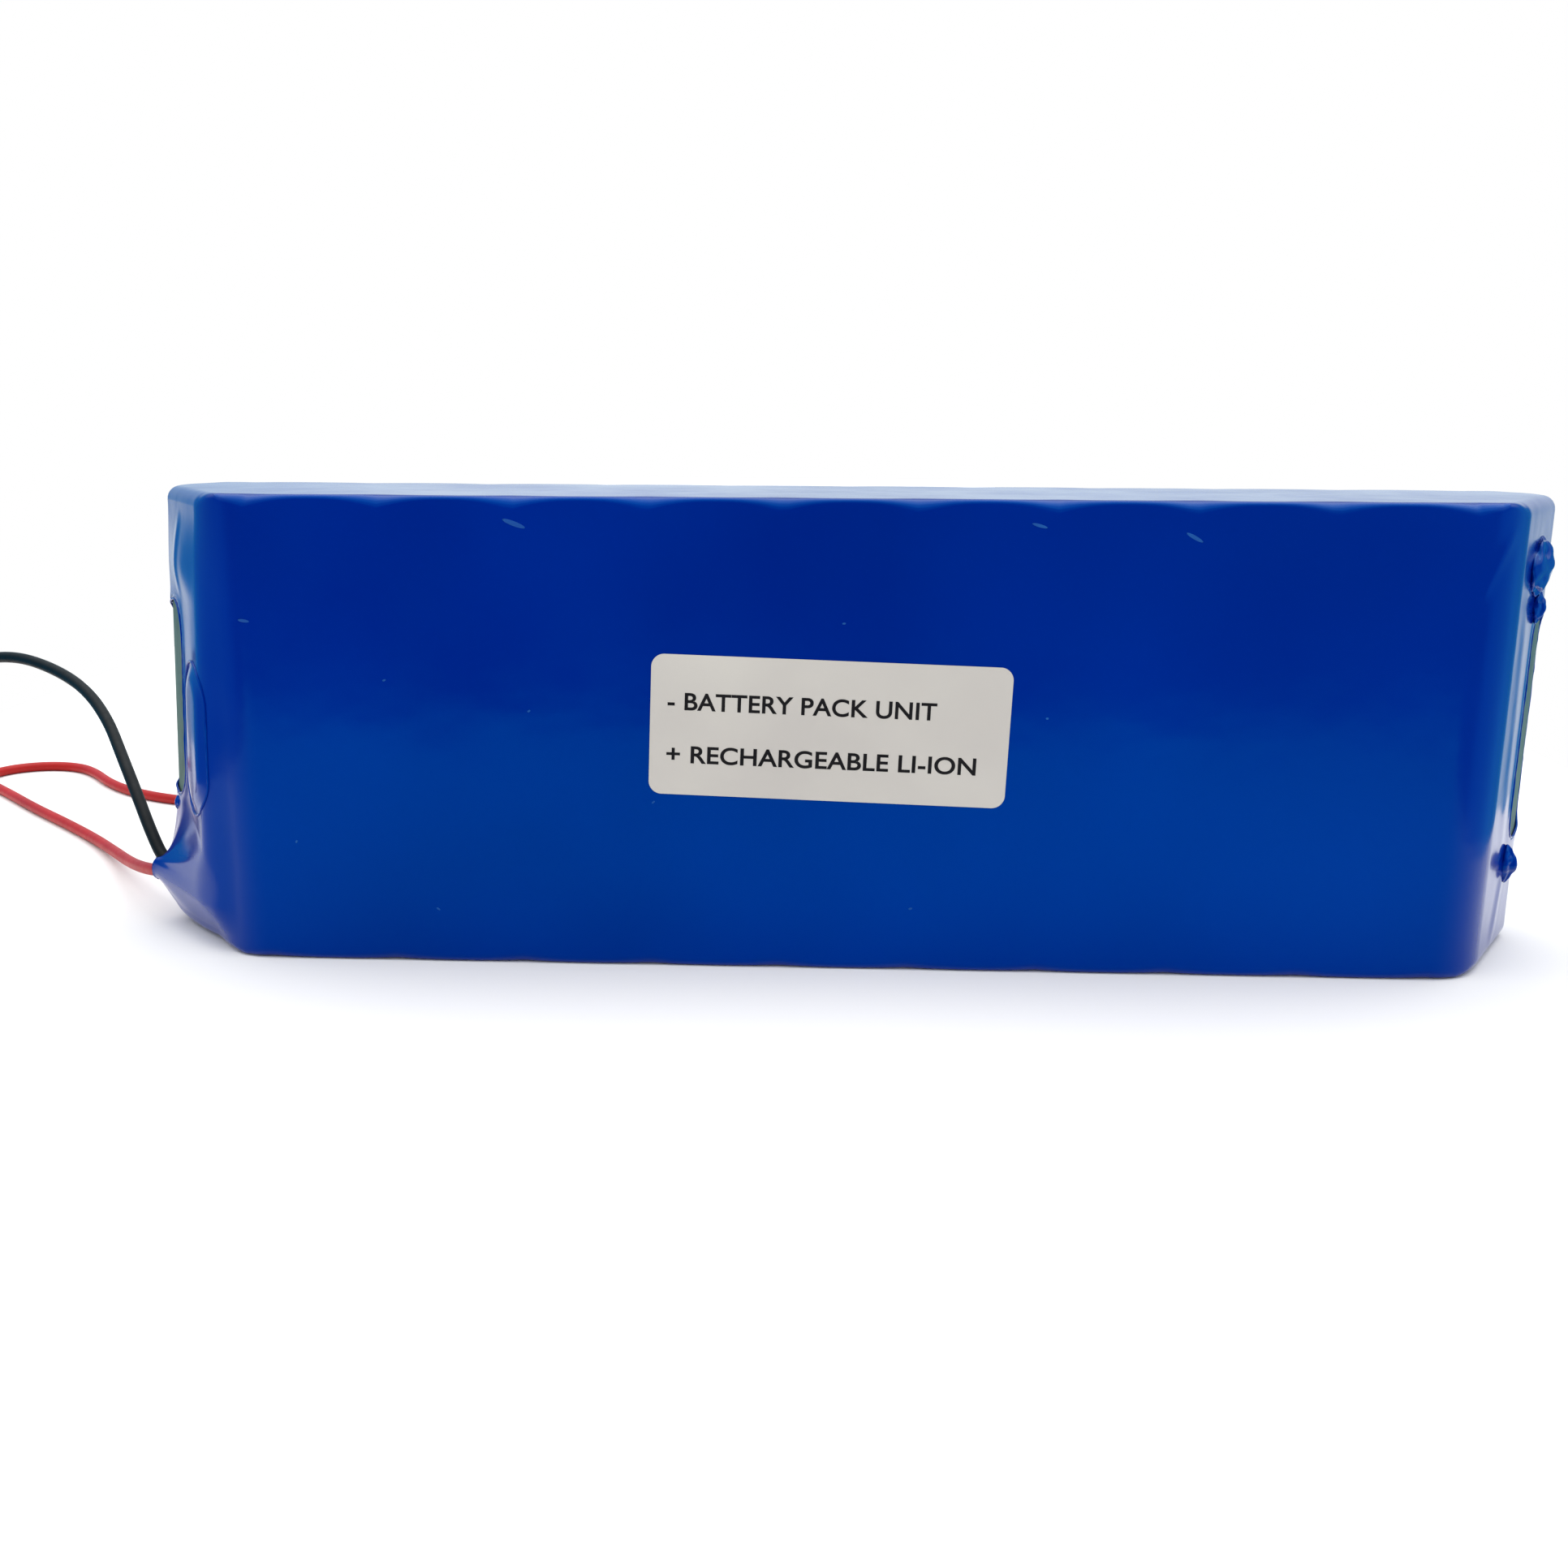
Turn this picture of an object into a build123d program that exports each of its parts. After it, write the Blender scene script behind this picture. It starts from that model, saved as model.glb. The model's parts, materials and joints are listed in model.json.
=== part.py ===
from build123d import *
import math
import os

# A soft-cased lithium-ion battery pack: 21 cylindrical cells stand upright in two nested rows,
# 10 in front and 11 behind, wired 3 in series and 7 in parallel, inside blue heat-shrink film.
# Frame: origin at the middle of the base, +X to the right along the pack, front face at -Y,
# +Z up. Millimetres.

os.makedirs("parts", exist_ok=True)

# ---------------------------------------------------------------- driving dimensions
FRONT_CELLS = 10
BACK_CELLS = 11
PITCH = 18.5
ROW_SPACING = PITCH * math.sqrt(3) / 2
CELL_HEIGHT = 65.0
CAN_RADIUS = 9.05
WRAP = 0.12
CELL_RADIUS = CAN_RADIUS + WRAP

FILM = 0.2
PAPER = 0.3
THIN_PAPER = 0.15
NICKEL = 0.15
BOARD = 0.5
GAP = 0.02

# heights of the layers, from the underside of the film
PAPER_Z = FILM
LINK_Z = PAPER_Z + PAPER
STRIP_Z = LINK_Z + NICKEL
CELL_Z = STRIP_Z + NICKEL
CELL_TOP = CELL_Z + CELL_HEIGHT
TOP_STRIP_Z = CELL_TOP
TOP_LINK_Z = TOP_STRIP_Z + NICKEL
TOP_PAPER_Z = TOP_LINK_Z + NICKEL
HEIGHT = TOP_PAPER_Z + PAPER + FILM

# distances from a row of cell axes to the faces of the pack
BOARD_OUT = CELL_RADIUS + 0.03
FILM_IN = BOARD_OUT + BOARD + GAP
FILM_OUT = FILM_IN + FILM
BACK_SHIFT = 2 * THIN_PAPER + GAP

# plan positions of the cells
FRONT_Y = -ROW_SPACING / 2
BACK_Y = ROW_SPACING / 2
FRONT_X = [(i - (FRONT_CELLS - 1) / 2) * PITCH for i in range(FRONT_CELLS)]
BACK_X = [(i - (BACK_CELLS - 1) / 2) * PITCH for i in range(BACK_CELLS)]
CORNER_FRONT_X = FRONT_X[-1]
CORNER_BACK_X = BACK_X[-1]

# the slanted ends: each one lies along two corner cells, 60 degrees from the long faces
END_COS = math.cos(math.radians(30))
END_SIN = math.sin(math.radians(30))
END_BOARD_LENGTH = 20.0
EDGE_RADIUS = 2.2
CORNER_RADIUS = 2.4

# the left end board leans out over the protection board
LEAN = 2.0
LEAN_TOP = 64.0
LEAN_BOTTOM = 15.5
BOARD_BOTTOM = 2.8

# protection board, flat against the left end
PCB_THICKNESS = 0.8
PCB_HEIGHT = 30.0
PCB_WIDTH = 16.0
PCB_BOTTOM = 4.5
PCB_IN = CELL_RADIUS + 0.03 + 2 * THIN_PAPER
PCB_OUT = PCB_IN + PCB_THICKNESS
VALLEY = PITCH / 2

LEAD_DIAMETER = 1.95
CORE_DIAMETER = 1.1
TIP_LENGTH = 6.0

LABEL_WIDTH = 50.0
LABEL_HEIGHT = 19.8
LABEL_THICKNESS = 0.1
LABEL_CENTRE = (-2.5, 34.8)
LABEL_TURN = -1.7
LABEL_RADIUS = 1.8


def save(builder, name):
    """Name a finished sub-part and write its STEP file."""
    builder.part.label = name
    export_step(builder.part, f"parts/{name}.step")


def end_point(side, along, out, z=0.0):
    """A point on an end: along it from the front corner cell, and out from the cell axes."""
    x = CORNER_FRONT_X + out * END_COS + along * END_SIN
    y = FRONT_Y - out * END_SIN + along * END_COS
    return (side * x, y, z)


def end_plane(side, out=0.0):
    """The plane of an end; its local X is side * distance along the end, its local Y is up."""
    return Plane(
        origin=end_point(side, 0, out),
        x_dir=(END_SIN, side * END_COS, 0),
        z_dir=(side * END_COS, -END_SIN, 0),
    )


# ---------------------------------------------------------------- cells
# Sorted from left to right. The first and last seven stand with their button up, the middle
# seven with their button down.
CELLS = sorted([(x, FRONT_Y) for x in FRONT_X] + [(x, BACK_Y) for x in BACK_X])
GROUP = 7
FIRST_GROUP = CELLS[:GROUP]
MIDDLE_GROUP = CELLS[GROUP:2 * GROUP]
LAST_GROUP = CELLS[2 * GROUP:]

BOTTOM_RIM = 7.4
CRIMP_TOP = 64.45
CRIMP_RADIUS = 6.4
GROOVE_Z = 61.2
GROOVE_DEPTH = 0.75
CAP_RADIUS = 5.7
BUTTON_RADIUS = 3.2
CAP_SEAT = 63.2


def cell_location(x, y):
    """Where a cell stands: upright, or turned over in the middle group."""
    if (x, y) in MIDDLE_GROUP:
        return Location((x, y, CELL_TOP), (180, 0, 0))
    return Location((x, y, CELL_Z))


CELL_LOCATIONS = [cell_location(x, y) for x, y in CELLS]

# steel can: flat bottom, rolled groove near the top, crimped rim round a recess for the cap
with BuildPart() as can:
    with BuildSketch(Plane.XZ):
        with BuildLine():
            Polyline(
                (0, 0), (BOTTOM_RIM, 0), (CAN_RADIUS - 0.3, WRAP), (CAN_RADIUS, 0.6),
                (CAN_RADIUS, GROOVE_Z - 0.9), (CAN_RADIUS - GROOVE_DEPTH, GROOVE_Z - 0.3),
                (CAN_RADIUS - GROOVE_DEPTH, GROOVE_Z + 0.3), (CAN_RADIUS, GROOVE_Z + 0.9),
                (CAN_RADIUS, CRIMP_TOP - 0.6), (CAN_RADIUS - 0.6, CRIMP_TOP),
                (CRIMP_RADIUS, CRIMP_TOP), (CRIMP_RADIUS, CAP_SEAT), (0, CAP_SEAT), close=True,
            )
        make_face()
    revolve(axis=Axis.Z)

for number, location in enumerate(CELL_LOCATIONS, start=1):
    with BuildPart() as cell:
        with Locations(location):
            add(can.part)
    save(cell, f"cell_{number:02d}")

# the cell's own sleeve, folded over the bottom rim and over the crimp
with BuildPart() as wrap:
    with BuildSketch(Plane.XZ):
        with BuildLine():
            Polyline(
                (BOTTOM_RIM + 0.1, 0), (CELL_RADIUS - 0.25, 0), (CELL_RADIUS, 0.55),
                (CELL_RADIUS, CRIMP_TOP - 0.5), (CELL_RADIUS - 0.6, CRIMP_TOP + WRAP),
                (CRIMP_RADIUS + 0.5, CRIMP_TOP + WRAP), (CRIMP_RADIUS + 0.5, CRIMP_TOP),
                (CAN_RADIUS - 0.6, CRIMP_TOP), (CAN_RADIUS, CRIMP_TOP - 0.6),
                (CAN_RADIUS, 0.6), (CAN_RADIUS - 0.3, WRAP), (BOTTOM_RIM + 0.1, WRAP * 0.07),
                close=True,
            )
        make_face()
    revolve(axis=Axis.Z)

# positive cap with its raised button and three vent holes
with BuildPart() as cap:
    with BuildSketch(Plane.XZ):
        with BuildLine():
            Polyline(
                (0, CAP_SEAT + 0.3), (CAP_RADIUS, CAP_SEAT + 0.3), (CAP_RADIUS, CAP_SEAT + 0.8),
                (BUTTON_RADIUS + 0.4, CAP_SEAT + 0.8), (BUTTON_RADIUS, CAP_SEAT + 1.1),
                (BUTTON_RADIUS, CELL_HEIGHT - 0.25), (BUTTON_RADIUS - 0.25, CELL_HEIGHT),
                (0, CELL_HEIGHT), close=True,
            )
        make_face()
    revolve(axis=Axis.Z)
    with PolarLocations(BUTTON_RADIUS + 1.4, 3):
        with Locations((0, 0, CAP_SEAT + 0.8)):
            Hole(radius=0.5)

# plastic gasket between the cap and the crimp
with BuildPart() as gasket:
    with BuildSketch(Plane.XY.offset(CAP_SEAT)):
        Circle(CRIMP_RADIUS)
        Circle(CAP_RADIUS, mode=Mode.SUBTRACT)
    extrude(amount=1.0)

# fibre ring that insulates the crimp round the button
with BuildPart() as ring:
    with BuildSketch(Plane.XY.offset(CRIMP_TOP + WRAP)):
        Circle(CELL_RADIUS - 0.7)
        Circle(BUTTON_RADIUS + 0.3, mode=Mode.SUBTRACT)
    extrude(amount=0.2)

CELL_PARTS = (
    (wrap, "cell_wraps"),
    (cap, "cell_caps"),
    (gasket, "cell_gaskets"),
    (ring, "cell_rings"),
)
for master, name in CELL_PARTS:
    with BuildPart() as group:
        with Locations(*CELL_LOCATIONS):
            add(master.part)
    save(group, name)

# beads of glue in the gaps between each three cells
BEAD_RADIUS = PITCH / math.sqrt(3) - CELL_RADIUS - 0.06
BEAD_HEIGHT = 14.0
BEAD_OFFSET = PITCH * math.sqrt(3) / 4 - PITCH / (2 * math.sqrt(3))
bead_points = [(x, -BEAD_OFFSET) for x in BACK_X[1:-1]] + [(x, BEAD_OFFSET) for x in FRONT_X]
with BuildPart() as cell_glue:
    with BuildSketch(Plane.XY.offset(CELL_Z + CELL_HEIGHT / 2)):
        with Locations(*bead_points):
            Circle(BEAD_RADIUS)
    extrude(amount=BEAD_HEIGHT / 2, both=True)
save(cell_glue, "cell_glue")

# ---------------------------------------------------------------- nickel buses
STRIP_WIDTH = 7.0
LINK_WIDTH = 8.0


def row_strips(cells, z):
    """The outline of a nickel strip along each row of the given cells."""
    with BuildSketch(Plane.XY.offset(z)) as strips:
        for row_y in (FRONT_Y, BACK_Y):
            xs = [x for x, y in cells if y == row_y]
            with Locations(((max(xs) + min(xs)) / 2, row_y)):
                RectangleRounded(max(xs) - min(xs) + STRIP_WIDTH, STRIP_WIDTH, 1.0)
    return strips.sketch


def cross_links(cells, z):
    """The outline of nickel laid zigzag across the rows, from each cell to the next one."""
    with BuildSketch(Plane.XY.offset(z)) as links:
        for (x1, y1), (x2, y2) in zip(cells, cells[1:]):
            turn = math.degrees(math.atan2(y2 - y1, x2 - x1))
            with Locations(Location(((x1 + x2) / 2, (y1 + y2) / 2, 0), (0, 0, turn))):
                RectangleRounded(PITCH + LINK_WIDTH, LINK_WIDTH, 2.0)
    return links.sketch


BUSES = (
    ("b_minus", FIRST_GROUP, STRIP_Z, LINK_Z),
    ("b1", FIRST_GROUP + MIDDLE_GROUP, TOP_STRIP_Z, TOP_LINK_Z),
    ("b2", MIDDLE_GROUP + LAST_GROUP, STRIP_Z, LINK_Z),
    ("b_plus", LAST_GROUP, TOP_STRIP_Z, TOP_LINK_Z),
)
for name, cells, strip_z, link_z in BUSES:
    with BuildPart() as strips:
        extrude(row_strips(cells, strip_z), amount=NICKEL)
    save(strips, f"nickel_{name}")
    with BuildPart() as links:
        extrude(cross_links(cells, link_z), amount=NICKEL)
    save(links, f"links_{name}")

# ---------------------------------------------------------------- plan outlines
# The pack's outline is the tight loop round four corner cells and the edges of the two end
# boards, so each outline is the hull of six circles.


def outline(z, reach, corner):
    """A sketch of the loop round the pack, at a distance from the cell axes."""
    with BuildSketch(Plane.XY.offset(z)) as loop:
        with Locations(*[(side * CORNER_FRONT_X, FRONT_Y) for side in (-1, 1)]):
            Circle(reach)
        with Locations(*[(side * CORNER_BACK_X, BACK_Y + BACK_SHIFT) for side in (-1, 1)]):
            Circle(reach)
        edge_out = FILM_OUT - CORNER_RADIUS
        with Locations(*[end_point(side, END_BOARD_LENGTH, edge_out)[:2] for side in (-1, 1)]):
            Circle(corner)
        make_hull()
    return loop.sketch


def paper_sheet(name, z):
    """Insulating paper over all the cell ends, cut a little inside the film's round edge."""
    with BuildPart() as sheet:
        add(outline(z, FILM_IN - EDGE_RADIUS, CORNER_RADIUS - EDGE_RADIUS + 0.1))
        extrude(amount=PAPER)
    save(sheet, name)


paper_sheet("paper_bottom", PAPER_Z)
paper_sheet("paper_top", TOP_PAPER_Z)

# ---------------------------------------------------------------- long boards
BOARD_HEIGHT = LEAN_TOP - BOARD_BOTTOM
BOARD_MIDDLE = (LEAN_TOP + BOARD_BOTTOM) / 2

with BuildPart() as front_board:
    with BuildSketch(Plane.XZ.offset(-FRONT_Y + BOARD_OUT)):
        with Locations((0, BOARD_MIDDLE)):
            RectangleRounded(2 * CORNER_FRONT_X, BOARD_HEIGHT, 1.0)
    extrude(amount=BOARD)
save(front_board, "front_board")

with BuildPart() as back_board:
    with BuildSketch(Plane.XZ.offset(-(BACK_Y + BOARD_OUT + BACK_SHIFT))):
        with Locations((0, BOARD_MIDDLE)):
            RectangleRounded(2 * CORNER_BACK_X, BOARD_HEIGHT, 1.0)
    extrude(amount=-BOARD)
save(back_board, "back_board")

# ---------------------------------------------------------------- flat conductors on the back
# The positive end is on the right, so a flat strip brings it back to the protection board
# on the left. A narrower one brings the middle tap. Both lie on paper behind the back board
# and bend round the left corner cell. Their upright legs stand in the hollows between cells.
RETURN_Z = 12.0
RETURN_WIDTH = 7.0
RETURN_X = (BACK_X[9] + BACK_X[10]) / 2
TAP_Z = 20.0
TAP_WIDTH = 3.0
TAP_X = (BACK_X[4] + BACK_X[5]) / 2
PAPER_MARGIN = 0.6
PAPER_STEP = 1.0
STRIP_OUT = BOARD_OUT + THIN_PAPER
END_ARC = 120
LAP_ALONG = 15.6
SLOPE_TOP = 8.3
SLOPE_UNDER = 8.22
SLOPE_DROP = 0.04


def corner_band(reach, z, height):
    """A thin strip bent round the left back corner cell and laid flat along the end."""
    with BuildPart() as band:
        with BuildSketch(Plane.XY.offset(z - height / 2)):
            with BuildLine():
                centre = (-CORNER_BACK_X, BACK_Y)
                outer = CenterArc(centre, reach + THIN_PAPER, 90, END_ARC)
                inner = CenterArc(centre, reach, 90, END_ARC)
                outer_end = end_point(-1, LAP_ALONG, reach + THIN_PAPER)[:2]
                inner_end = end_point(-1, LAP_ALONG, reach)[:2]
                Line(outer @ 0, inner @ 0)
                Polyline(outer @ 1, outer_end, inner_end, inner @ 1)
            make_face()
        extrude(amount=height)
    return band.part


def back_strip(reach, x1, x2, z1, z2):
    """A flat thin strip on the back, between two x positions and two heights."""
    with BuildPart() as strip:
        with BuildSketch(Plane.XZ.offset(-(BACK_Y + reach))):
            with Locations(((x1 + x2) / 2, (z1 + z2) / 2)):
                Rectangle(x2 - x1, z2 - z1)
        extrude(amount=-THIN_PAPER)
    return strip.part


def across_plane(x):
    """An upright plane across the pack, with local X outwards from the back row's axes."""
    return Plane(origin=(x, BACK_Y, 0), x_dir=(0, 1, 0), z_dir=(1, 0, 0))


with BuildPart() as back_paper:
    for z, width, strip_x in ((RETURN_Z, RETURN_WIDTH, RETURN_X), (TAP_Z, TAP_WIDTH, TAP_X)):
        half = width / 2 + PAPER_MARGIN
        end_x = strip_x - width / 2 - PAPER_STEP
        add(corner_band(BOARD_OUT, z, 2 * half))
        add(back_strip(BOARD_OUT, -CORNER_BACK_X, end_x, z - half, z + half))
save(back_paper, "back_paper")

with BuildPart() as return_strip:
    half = RETURN_WIDTH / 2
    add(corner_band(STRIP_OUT, RETURN_Z, RETURN_WIDTH))
    add(back_strip(STRIP_OUT, -CORNER_BACK_X, RETURN_X + half, RETURN_Z - half, RETURN_Z + half))
    with BuildSketch(across_plane(RETURN_X - half)):
        with BuildLine():
            Polyline(
                (STRIP_OUT + NICKEL, RETURN_Z), (STRIP_OUT + NICKEL, LEAN_TOP),
                (SLOPE_TOP, TOP_LINK_Z), (STRIP_WIDTH / 2, TOP_LINK_Z),
                (STRIP_WIDTH / 2, TOP_STRIP_Z), (SLOPE_UNDER, TOP_STRIP_Z),
                (STRIP_OUT, LEAN_TOP - SLOPE_DROP), (STRIP_OUT, RETURN_Z), close=True,
            )
        make_face()
    extrude(amount=RETURN_WIDTH)
save(return_strip, "return_strip")

with BuildPart() as tap_strip:
    half = TAP_WIDTH / 2
    add(corner_band(STRIP_OUT, TAP_Z, TAP_WIDTH))
    add(back_strip(STRIP_OUT, -CORNER_BACK_X, TAP_X + half, TAP_Z - half, TAP_Z + half))
save(tap_strip, "tap_strip")

# nickel tab from the lower bus up under the paper to the middle tap strip
with BuildPart() as tap_tab:
    with BuildSketch(across_plane(TAP_X - TAP_WIDTH / 2)):
        with BuildLine():
            under = BOARD_OUT - NICKEL
            low = TAP_Z - TAP_WIDTH / 2
            high = TAP_Z + TAP_WIDTH / 2
            Polyline(
                (STRIP_WIDTH / 2, STRIP_Z), (BOARD_OUT, STRIP_Z), (BOARD_OUT, low),
                (STRIP_OUT, low), (STRIP_OUT, high), (under, high),
                (under, CELL_Z), (STRIP_WIDTH / 2, CELL_Z), close=True,
            )
        make_face()
    extrude(amount=TAP_WIDTH)
save(tap_tab, "tap_tab")

# ---------------------------------------------------------------- ends


def profile_plane(along):
    """An upright plane square to the left end, with local X outwards from the cell axes."""
    return Plane(
        origin=end_point(-1, along, 0),
        x_dir=(-END_COS, -END_SIN, 0),
        z_dir=(-END_SIN, END_COS, 0),
    )


with BuildPart() as end_board_right:
    with BuildSketch(end_plane(1, BOARD_OUT)):
        with Locations((END_BOARD_LENGTH / 2, BOARD_MIDDLE)):
            RectangleRounded(END_BOARD_LENGTH, BOARD_HEIGHT, 1.0)
    extrude(amount=BOARD)
save(end_board_right, "end_board_right")

with BuildPart() as end_board_left:
    with BuildSketch(profile_plane(0)):
        with BuildLine():
            Polyline(
                (BOARD_OUT, LEAN_TOP), (BOARD_OUT + BOARD, LEAN_TOP),
                (BOARD_OUT + BOARD + LEAN, LEAN_BOTTOM), (BOARD_OUT + LEAN, LEAN_BOTTOM), close=True,
            )
        make_face()
    extrude(amount=END_BOARD_LENGTH)
save(end_board_left, "end_board_left")

# ---------------------------------------------------------------- protection board
# It lies flat against the two left corner cells, on paper spacers, with its chips facing
# inwards in the hollow between the cells.
PCB_TOP = PCB_BOTTOM + PCB_HEIGHT
PCB_ALONG = 1.25
SPACER_PLACES = (
    (2.0, 3.0, PCB_BOTTOM, PCB_TOP),
    (16.1, 2.2, TAP_Z + 3.0, PCB_TOP),
)
MOSFET_Z = (13.0, 18.5, 24.0)
MOSFET_SIZE = (3.9, 4.9, 1.4)
CHIP_Z = 29.2
CHIP_SIZE = (3.9, 3.0, 1.1)
PIN_SPAN = 4.8
PIN_LENGTH = 0.9
PIN_WIDTH = 0.42
PIN_HEIGHT = 0.25
MOSFET_PIN_PITCH = 1.27
CHIP_PIN_PITCH = 0.95
RESISTOR_ALONG = (5.0, 13.5)
RESISTOR_Z = (11.5, 15.0, 21.5, 25.0, 29.0)
RESISTOR_SIZE = (0.8, 1.6, 0.45)


def inward_parts(name, places, size):
    """Small parts soldered on the inner face of the protection board, as separate solids."""
    along_size, z_size, height = size
    with BuildPart() as parts:
        with BuildSketch(end_plane(-1, PCB_IN)):
            with Locations(*[(-along, z) for along, z in places]):
                Rectangle(along_size, z_size)
        extrude(amount=-height)
    save(parts, name)


with BuildPart() as bms_spacers:
    with BuildSketch(end_plane(-1, BOARD_OUT)):
        for along, width, low, high in SPACER_PLACES:
            with Locations((-along, (low + high) / 2)):
                Rectangle(width, high - low)
    extrude(amount=PCB_IN - BOARD_OUT)
save(bms_spacers, "bms_spacers")

with BuildPart() as bms_pcb:
    with BuildSketch(end_plane(-1, PCB_IN)):
        with Locations((-(PCB_ALONG + PCB_WIDTH / 2), PCB_BOTTOM + PCB_HEIGHT / 2)):
            RectangleRounded(PCB_WIDTH, PCB_HEIGHT, 0.6)
    extrude(amount=PCB_THICKNESS)
save(bms_pcb, "bms_pcb")

inward_parts("bms_mosfets", [(VALLEY, z) for z in MOSFET_Z], MOSFET_SIZE)
inward_parts("bms_chip", [(VALLEY, CHIP_Z)], CHIP_SIZE)
inward_parts(
    "bms_resistors", [(along, z) for along in RESISTOR_ALONG for z in RESISTOR_Z], RESISTOR_SIZE
)

with BuildPart() as bms_pins:
    with BuildSketch(end_plane(-1, PCB_IN)):
        for z in MOSFET_Z:
            with Locations((-VALLEY, z)):
                with GridLocations(PIN_SPAN, MOSFET_PIN_PITCH, 2, 4):
                    Rectangle(PIN_LENGTH, PIN_WIDTH)
        with Locations((-VALLEY, CHIP_Z)):
            with GridLocations(PIN_SPAN, CHIP_PIN_PITCH, 2, 3):
                Rectangle(PIN_LENGTH, PIN_WIDTH)
    extrude(amount=-PIN_HEIGHT)
save(bms_pins, "bms_pins")

# nickel tab from the first bus, bent up behind the protection board
TAB_WIDTH = 6.0
TAB_TOP = 9.0
TAB_START = 2.0
TAB_BEND = 7.5
TAB_BEND_Z = 2.9
with BuildPart() as tab_b_minus:
    with BuildSketch(profile_plane(VALLEY - TAB_WIDTH / 2)):
        with BuildLine():
            Polyline(
                (TAB_START, STRIP_Z), (TAB_BEND, STRIP_Z), (PCB_IN, TAB_BEND_Z),
                (PCB_IN, TAB_TOP), (PCB_IN - NICKEL, TAB_TOP),
                (PCB_IN - NICKEL, TAB_BEND_Z + 0.1), (TAB_BEND - 0.08, CELL_Z),
                (TAB_START, CELL_Z), close=True,
            )
        make_face()
    extrude(amount=TAB_WIDTH)
save(tab_b_minus, "tab_b_minus")

# sense wire from the first tap, down the hollow between the corner cells to the board
SENSE_OUT = 3.4
SENSE_Z = 32.8
with BuildPart() as wire_sense:
    with BuildLine() as sense_path:
        FilletPolyline(
            end_point(-1, VALLEY, PCB_IN, SENSE_Z),
            end_point(-1, VALLEY, SENSE_OUT, SENSE_Z),
            end_point(-1, VALLEY, SENSE_OUT, TOP_LINK_Z),
            radius=2.0,
        )
    with BuildSketch(Plane(origin=sense_path.line @ 0, z_dir=sense_path.line % 0)):
        Circle(0.5)
    sweep()
save(wire_sense, "wire_sense")

BLACK_PAD = end_point(-1, 10.8, PCB_OUT, 8.2)
RED_PAD = end_point(-1, 14.6, PCB_OUT, 6.8)
PAD_RADIUS = 1.5
with BuildPart() as solder_joints:
    with Locations(BLACK_PAD, RED_PAD):
        Sphere(PAD_RADIUS)
    split(bisect_by=end_plane(-1, PCB_OUT), keep=Keep.TOP)
save(solder_joints, "solder_joints")

# ---------------------------------------------------------------- leads
# The red one lies on the surface and runs back behind the pack. The black one springs up in a
# low arch and comes down on its own coil. Both end in bare tinned tips.
# The coil is two turns of a flat spiral, each turn clear of the last, so the ring that stands
# for it is three leads wide.
COIL_CENTRE = (-185.2, 50.0)
COIL_INNER = 8.3
COIL_OUTER = 14.3
COIL_HEIGHT = 2.0

BLACK_ROUTE = [
    (-97.9, -3.6, 8.3), (-101.5, -2.2, 8.4), (-105.2, 0.0, 9.8), (-108.2, 3.4, 13.4),
    (-112.0, 8.8, 17.8), (-117.2, 16.6, 22.8), (-122.4, 24.8, 27.2), (-129.0, 33.0, 30.8),
    (-137.6, 41.2, 33.0), (-148.0, 49.0, 34.2), (-158.4, 55.6, 32.6), (-167.0, 60.4, 26.8),
    (-172.6, 61.8, 18.4), (-175.2, 59.6, 9.6), (-175.6, 54.4, 3.4), (-175.9, 50.0, 1.6),
]
RED_ROUTE = [
    (-99.8, -0.3, 6.9), (-103.2, 0.8, 7.4), (-107.4, 3.8, 7.0), (-113.0, 11.2, 5.4),
    (-119.6, 22.0, 3.4), (-127.4, 34.8, 1.8), (-136.0, 47.0, 1.0), (-146.4, 58.6, 1.0),
    (-157.6, 70.4, 1.0), (-168.0, 82.4, 1.0), (-174.9, 89.9, 1.0), (-179.8, 95.7, 1.0),
    (-180.6, 102.2, 1.0), (-177.4, 108.0, 1.0), (-171.4, 110.8, 1.0), (-164.9, 109.6, 1.0),
    (-159.2, 104.4, 1.0), (-152.6, 94.9, 1.0), (-145.2, 87.0, 1.0), (-136.0, 80.8, 1.0),
    (-125.0, 77.0, 1.0), (-112.6, 73.2, 1.0), (-101.0, 66.0, 1.0), (-91.8, 55.6, 1.0),
    (-83.6, 45.8, 1.0),
]


def bend_radii(route):
    """The largest tangent arc at each inner point that its two runs leave room for."""
    radii = []
    for before, here, after in zip(route, route[1:], route[2:]):
        run_in = Vector(*here) - Vector(*before)
        run_out = Vector(*after) - Vector(*here)
        half_turn = math.radians(run_in.get_angle(run_out)) / 2
        radii.append(0.45 * min(run_in.length, run_out.length) / math.tan(half_turn))
    return radii


def tube(route, diameter, name):
    """A lead along its route, with its volume compared with section times length."""
    radii = bend_radii(route)
    with BuildPart() as lead:
        with BuildLine() as path:
            FilletPolyline(*route, radius=radii)
        with BuildSketch(Plane(origin=path.line @ 0, z_dir=path.line % 0)):
            Circle(diameter / 2)
        sweep()
    length = sum(edge.length for edge in path.line.edges())
    expected = math.pi * diameter ** 2 / 4 * length
    print(name, "length", round(length, 1), "radii", [round(radius, 1) for radius in radii])
    print(name, "volume over section times length", round(lead.part.volume / expected, 4))
    return lead.part


with BuildPart() as coil:
    with BuildSketch():
        with Locations(COIL_CENTRE):
            Circle(COIL_OUTER)
            Circle(COIL_INNER, mode=Mode.SUBTRACT)
    extrude(amount=COIL_HEIGHT)
save(coil, "coil_black")

with BuildPart() as lead_black:
    add(tube(BLACK_ROUTE, LEAD_DIAMETER, "lead_black"))
    add([bms_pcb.part, solder_joints.part, coil.part], mode=Mode.SUBTRACT)
save(lead_black, "lead_black")

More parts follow.
